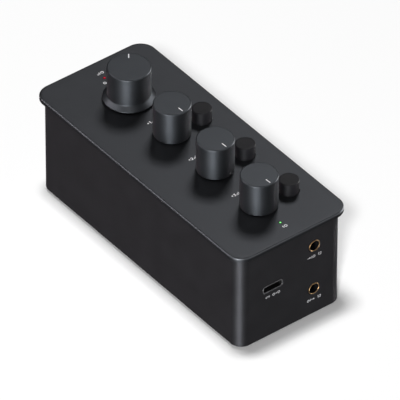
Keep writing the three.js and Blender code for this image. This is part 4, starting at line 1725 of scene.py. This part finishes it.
@dataclass(frozen=True)
class Studio:
    """The pale floor, the dim room and the lights.

    The floor and the amplifier have lights of their own, and the floor hides no light. The
    lowest lights brighten the sides from below. They cast no shadow, because the box would
    keep them from the knobs.

    Attributes:
        floor_size: Half the floor's width.
        floor_colour: The floor's colour.
        room: Brightness of the room.
        boxes: The lights.
    """

    floor_size: float = 8.0
    floor_colour: float = 0.85
    room: float = 0.01
    boxes: tuple[SoftBox, ...] = (
        SoftBox("key", 129, 51.5, 5.5),
        SoftBox("front", -57, 3, 15.0),
        SoftBox("front_low", -57, -8, 16.5),
        SoftBox("front_deep", -46, -32, 3.3, COOL, False),
        SoftBox("front_deepest", -64, -38, 1.0, COOL, False),
        SoftBox("high_back", -152, 47, 2.8),
        SoftBox("high_left", -103, 40, 4.4),
        SoftBox("high_mid", -57, 50, 0.6),
        SoftBox("high_front", -38, 50, 2.7),
        SoftBox("side", 76, 11, 5.0),
        SoftBox("side_high", 65, 24, 3.0),
        SoftBox("side_low", 82, -8, 18.0),
        SoftBox("side_deep", 95, -39, 0.2, shadows=False),
        SoftBox("end", 0, 12, 0.6),
        SoftBox("end_high", 15, 30, 4.4),
        SoftBox("end_deep", 60, -40, 0.25, ROSE, False),
        SoftBox("left", -133, 28, 5.7, FAINT_ROSE),
        SoftBox("left_low", -165, -25, 0.6, WARM, False),
        SoftBox("left_deep", -142, -40, 0.09, WARM, False),
        SoftBox("floor_front", -43.3, 40.8, 88.0, distance=4.0, side=0.35, for_floor=True),
        SoftBox("floor_top", 175, 87.5, 78.0, distance=4.0, side=0.45, for_floor=True),
        SoftBox("floor_side", -140, 82.5, 52.0, distance=4.0, side=0.45, for_floor=True),
    )

    def place(self) -> None:
        """Makes the floor, the lights and the world."""
        s = self.floor_size
        corners = np.column_stack([rectangle(-s, -s, s, s), np.zeros(4)])
        floor = Form(corners, (np.array([[0, 1, 2, 3]]),))
        graph = Graph("pale_floor")
        tone = graph.noise(0.4, 2).ramp(0.2, 0.8)
        pale = graph.shaded(tone, [self.floor_colour] * 3, 0.01)
        mesh = floor.mesh("floor")
        mesh.materials.append(graph.dress(Base_Color=pale, Roughness=0.9, Specular_IOR_Level=0.0))
        ground = bpy.data.objects.new("floor", mesh)
        bpy.context.scene.collection.objects.link(ground)
        ground.visible_glossy = False
        ground.visible_shadow = False
        target = np.array([0, 0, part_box("top_lid")[1].z])
        for light in self.boxes:
            light.place(target, ground)
        world = bpy.data.worlds.new("room")
        world.use_nodes = True
        background = world.node_tree.nodes["Background"]
        background.inputs["Color"].default_value = (self.room, self.room, self.room, 1)
        bpy.context.scene.world = world
        bpy.context.scene.view_settings.view_transform = "Standard"


@dataclass(frozen=True)
class Amplifier:
    """The whole amplifier, from its sub-assemblies.

    Attributes:
        enclosure: Box, lid, base, feet and bolts.
        master: The master knob.
        usb: The USB socket.
        marks: The printed signs.
        inside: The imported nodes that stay.
    """

    enclosure: Enclosure = Enclosure()
    master: Knob = Knob("master_knob", "master_dial", (5.0 * MM, 7.5 * MM), 143.5, 8.1 * MM,
                        (1.1 * MM, 2.8 * MM))
    usb: UsbSocket = UsbSocket()
    marks: Marks = Marks()
    inside: Inside = Inside()

    def pieces(self) -> list[Piece]:
        """Lists every new piece.

        Returns:
            All of them.
        """
        groups = (self.enclosure, self.master, self.usb, self.marks)
        pieces = [piece for group in groups for piece in group.pieces()]
        for channel in CHANNELS:
            knob = Knob(f"channel_{channel}_knob", f"channel_{channel}_dial",
                        (3.6 * MM, 6.0 * MM), 3, 7.0 * MM)
            jack = Jack(f"headphone_jack_{channel}", f"headphone_ring_{channel}", 90)
            pieces += [*knob.pieces(), *Button(channel).pieces(), *jack.pieces()]
        for side in ("in", "out"):
            pieces += Jack(f"line_{side}_jack", f"line_{side}_ring", 0).pieces()
        green = Light("power_light_pipe", "green_light", (0.23, 0.9, 0.24), 1.05, 0.36 * MM)
        red = Light("clip_light_pipe", "red_light", (0.5, 0.01, 0.03), 0.8, 0.45 * MM)
        return [*pieces, *green.pieces(), *red.pieces()]

    def build(self) -> None:
        """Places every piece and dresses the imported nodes."""
        for piece in self.pieces():
            piece.place()
        self.inside.dress()


def main() -> None:
    """Makes the camera, the studio and the amplifier."""
    logging.basicConfig(level=logging.INFO, format="%(name)s: %(message)s")
    Camera().place()
    Studio().place()
    Amplifier().build()


if __name__ == "__main__":
    main()
